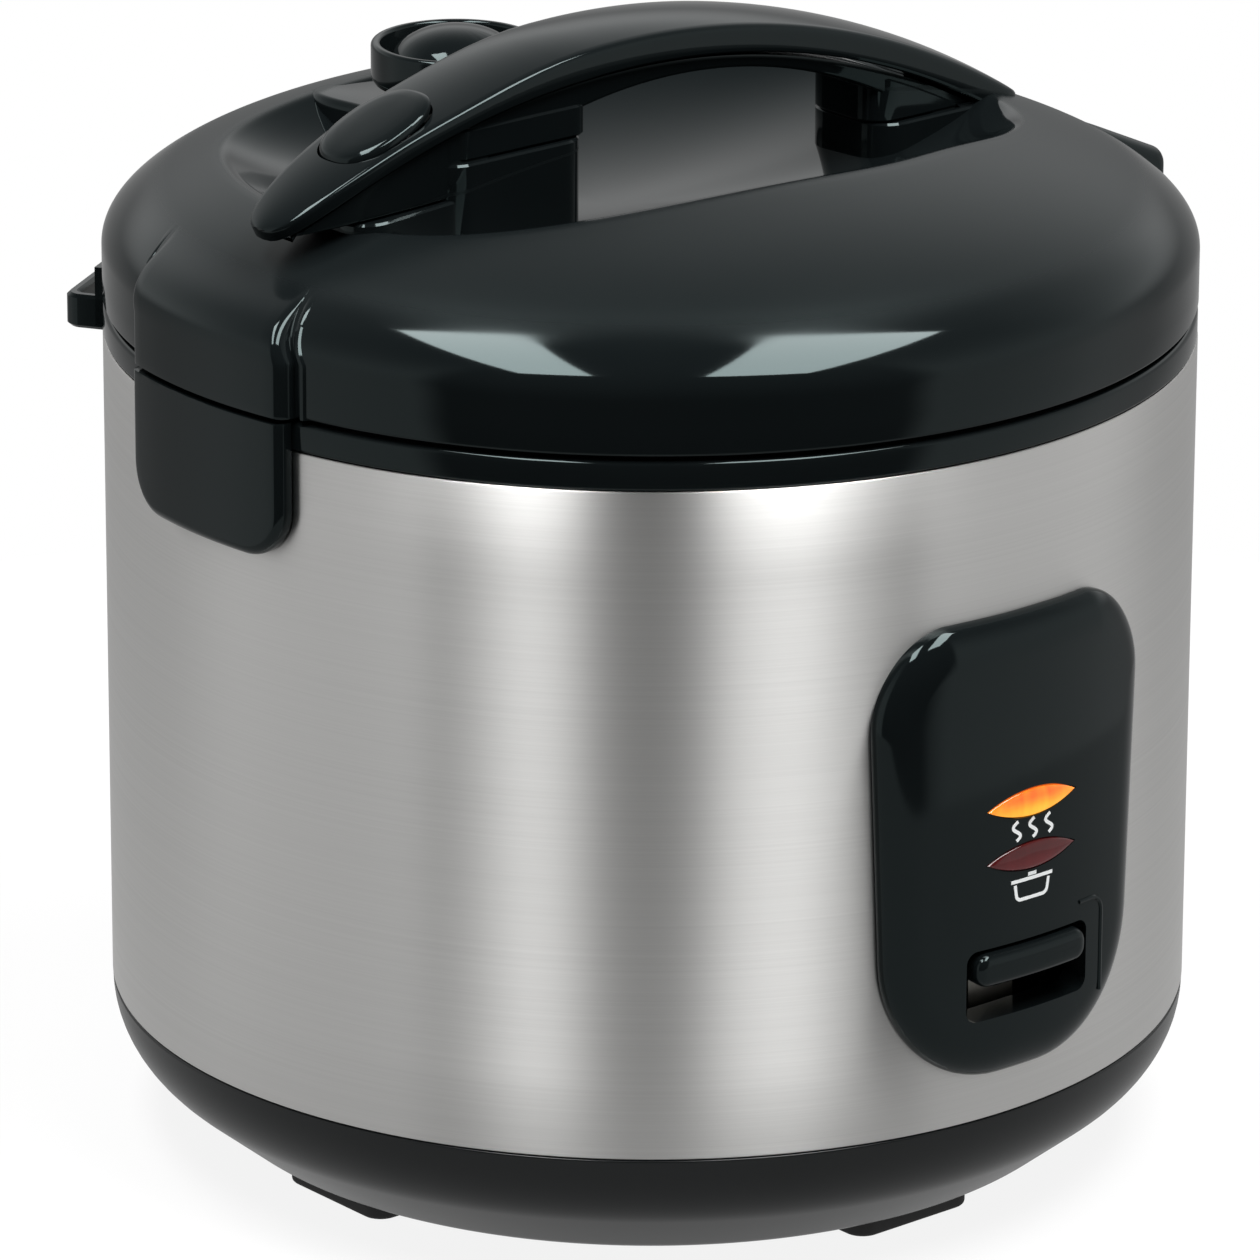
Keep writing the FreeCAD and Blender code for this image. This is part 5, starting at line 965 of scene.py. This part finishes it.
def oval(centre, half_length, half_width, power=2.4, count=96):
    """A soft-cornered oval in plan."""
    points = []
    for turn in np.linspace(0, 2 * math.pi, count, endpoint=False):
        x, y = math.cos(turn), math.sin(turn)
        points.append((centre[0] + half_length * math.copysign(abs(x)**(2 / power), x),
                       centre[1] + half_width * math.copysign(abs(y)**(2 / power), y)))
    return points


PAD, PAD_SIZE, PAD_HEIGHT, PAD_SLOPE = (-83.5, 0), (13.2, 10.4), 263.5, 0.41


def pad_level(x):
    """Height of the pad's edge, on a slope."""
    return PAD_HEIGHT + PAD_SLOPE * (x - PAD[0])


well_outline = oval(PAD, PAD_SIZE[0] + 0.5, PAD_SIZE[1] + 0.5)
carved(bow, laid("well", [[(x, y, pad_level(x) + lift) for x, y in well_outline] for lift in (-9, 9)]))
fit(bow, "lid", "black_gloss", "handle_top")

# %% The release pad
PAD_EDGE = [(1, -1.2), (1, -0.2), (0.985, 0.35), (0.95, 0.7), (0.88, 1), (0.7, 1.3), (0.4, 1.5), (0.1, 1.55)]
pad_rows = []
for share, lift in PAD_EDGE:
    flat = [(PAD[0] + (x - PAD[0]) * share, y * share) for x, y in oval(PAD, *PAD_SIZE)]
    pad_rows.append([(x, y, pad_level(x) + lift) for x, y in flat])
fit(laid("release_pad", pad_rows), "button", "black_gloss", "release_button")

# %% The handle's lower half, its posts and the lid's seats
def post(name, start, end, half, low, high, corner):
    """A round-cornered post between two levels. Each level is a height or a rule for one."""
    def level(rule, x):
        return rule(x) if callable(rule) else rule

    soft = 0.5
    corners = ((start, -half), (end, -half), (end, half), (start, half))
    outline = even(rounded([(*spot, corner) for spot in corners], 8), 120)
    eased = inset(outline, soft)
    rows = [[(x, y, level(low, x)) for x, y in eased], [(x, y, level(low, x) + soft) for x, y in outline],
            [(x, y, level(high, x) - soft) for x, y in outline], [(x, y, level(high, x)) for x, y in eased]]
    return laid(name, rows)


def under(x):
    """Underside of the handle's lower half, thicker towards the front post."""
    return on_arch(x, 217.9 - min(3.4, 0.0012 * (x - 20)**2))


def below_bow(x):
    """Just under the bow's sole."""
    return on_arch(x, SOLE - 1) - droop(x)


def web_foot(x):
    """Underside of the web behind the handle's tip."""
    return 246.6 + 0.06 * (x + 62)


def keel(name, start, end, half, low):
    """A beam under the bow, never wider than it, between a rule for its underside and the bow's sole."""
    rows = []
    for x in np.linspace(start, end, 60):
        wide = min(half, HALF_WIDTH * tapered(x) - 1.8)
        foot, top = low(x), below_bow(x)
        beam = rounded([(-wide, foot, 1), (wide, foot, 1), (wide, top), (-wide, top)], 4)
        rows.append([(x, y, z) for y, z in beam])
    return laid(name, rows)


parts = [
    keel("handle_under", -84, 104, 12.2, under),
    keel("front_web", -113, -60, 12.6, web_foot),
    post("front_post", -70, -29.5, 12.8, 254.5, 262, 4),
    post("rear_post", 59.2, 103, 13, 240.2, lambda x: on_arch(x, 219.5), 7),
]
fit(joined("handle_under", parts), "lid", "black_gloss", "handle_base")

for name, start, end, half, high, corner in (
    ("front_seat", -73.5, -30.5, 14.2, 254.2, 7),
    ("front_shelf", -98, -64, 13.2, lambda x: web_foot(x) - 0.3, 8),
    ("rear_seat", 60, 103, 14.5, 239.9, 8),
):
    fit(post(name, start, end, half, 224, high, corner), "lid", "black_gloss")

# %% [markdown]
# ## Steam vent
# The vent is a cup with a domed cap in it, lifted out of the lid for washing. It stands in a raised ear of
# the lid, round with one pointed corner. Cup and cap are turned, the ear is an outline raised in rings.

# %% The vent and its ear
VENT, VENT_HOLE = (-8, 63), 14.1
EAR_REACH, EAR_POINT, EAR_TURN = 23.5, 13, math.radians(126)
EAR_FOOT, EAR_EDGE, EAR_TOP, EAR_SOFT = 226, 240.6, 242.8, 2.2


def about_vent(reach, turn):
    """A plan point at a reach from the vent's axis."""
    return VENT[0] + reach * math.cos(turn), VENT[1] + reach * math.sin(turn)


def ear_reach(turn):
    """Reach of the ear's outline: a circle with one pointed corner."""
    return EAR_REACH + EAR_POINT * max(0, math.cos(turn - EAR_TURN))**12


turns = np.linspace(0, 2 * math.pi, 144, endpoint=False)
ear = np.array([about_vent(ear_reach(turn), turn) for turn in turns])
hole = np.array([about_vent(VENT_HOLE, turn) for turn in turns])
ear_rings = [(hole, EAR_FOOT), (ear, EAR_FOOT), (ear, EAR_EDGE)]
for turn in np.linspace(0.2, math.pi / 2, 7):
    ear_rings.append((inset(ear, EAR_SOFT * (1 - math.cos(turn))), EAR_EDGE + EAR_SOFT * math.sin(turn)))
ear_rings += [(hole, EAR_TOP), (hole, EAR_FOOT)]
ear_rows = [[(x, y, height) for x, y in ring] for ring, height in ear_rings]
fit(laid("vent_ear", ear_rows), "lid", "black_gloss")

cup = turned("vent_bowl", rounded([
    (11, 235), (13, 235, 0.4), (13, 243.2, 0.3), (16, 243.2, 0.4), (16, 246.4, 0.8), (19.6, 247, 0.8),
    (20.5, 248.4, 0.8), (20.5, 257.1, 1.1), (18.2, 257.1, 0.9), (17.6, 250.6, 1.2), (11, 250.6), (11, 235),
], 6), 128, VENT)
fit(cup, "vent", "black_gloss", "vent_cup")
CAP_RADIUS, CAP_FOOT, CAP_EDGE, CAP_RISE = 15.8, 250.2, 251.6, 9
cap_section = [(0, CAP_FOOT), (CAP_RADIUS, CAP_FOOT)]
for turn in np.linspace(0, math.pi / 2, 20):
    cap_section.append((CAP_RADIUS * math.cos(turn), CAP_EDGE + CAP_RISE * math.sin(turn)))
fit(turned("vent_cap", cap_section, 128, VENT), "vent", "black_gloss", "vent_dome")

# %% [markdown]
# ## Paddle loop
# Behind the latch a flat loop stands out of the ring, a holder for the rice paddle. It hangs from the ring
# by two tabs, so the steel's edge runs past behind it. The loop is a bar bent in plan, laid as one long
# grid.

# %% The paddle loop
LOOP_WAY = Vector((-0.5225, 0.8526))
LOOP_SIDE = Vector((0.8526, 0.5225))


def across_loop(side, reach):
    """A plan point from its distance to the side and its reach from the body's axis."""
    return LOOP_WAY * reach + LOOP_SIDE * side


outer = rounded([(-22, 128), (-22, 141.5, 4), (22, 141.5, 4), (22, 128)], 10)
inner = rounded([(-19, 128), (-19, 138.5, 2), (19, 138.5, 2), (19, 128)], 10)
loop_section = [(0, 191.6), (0, 198.4), (0.27, 199.2), (0.73, 199.2),
                (1, 198.4), (1, 191.6), (0.73, 190.8), (0.27, 190.8)]
loop_rows = []
for (a, b), (c, d) in zip(outer, inner):
    out, back = across_loop(a, b), across_loop(c, d)
    loop_rows.append([(*out.lerp(back, share), height) for share, height in loop_section])
pieces = [laid("paddle_holder", loop_rows)]
for side in (-19, 19):
    outline = [across_loop(side + a, b) for a, b in ((-3, 129.4), (3, 129.4), (3, 133), (-3, 133))]
    pieces.append(laid("tab", [[(spot.x, spot.y, height) for spot in outline] for height in (192, 206.6)]))
fit(joined("paddle_holder", pieces), "cooker", "black_gloss", "paddle_loop")
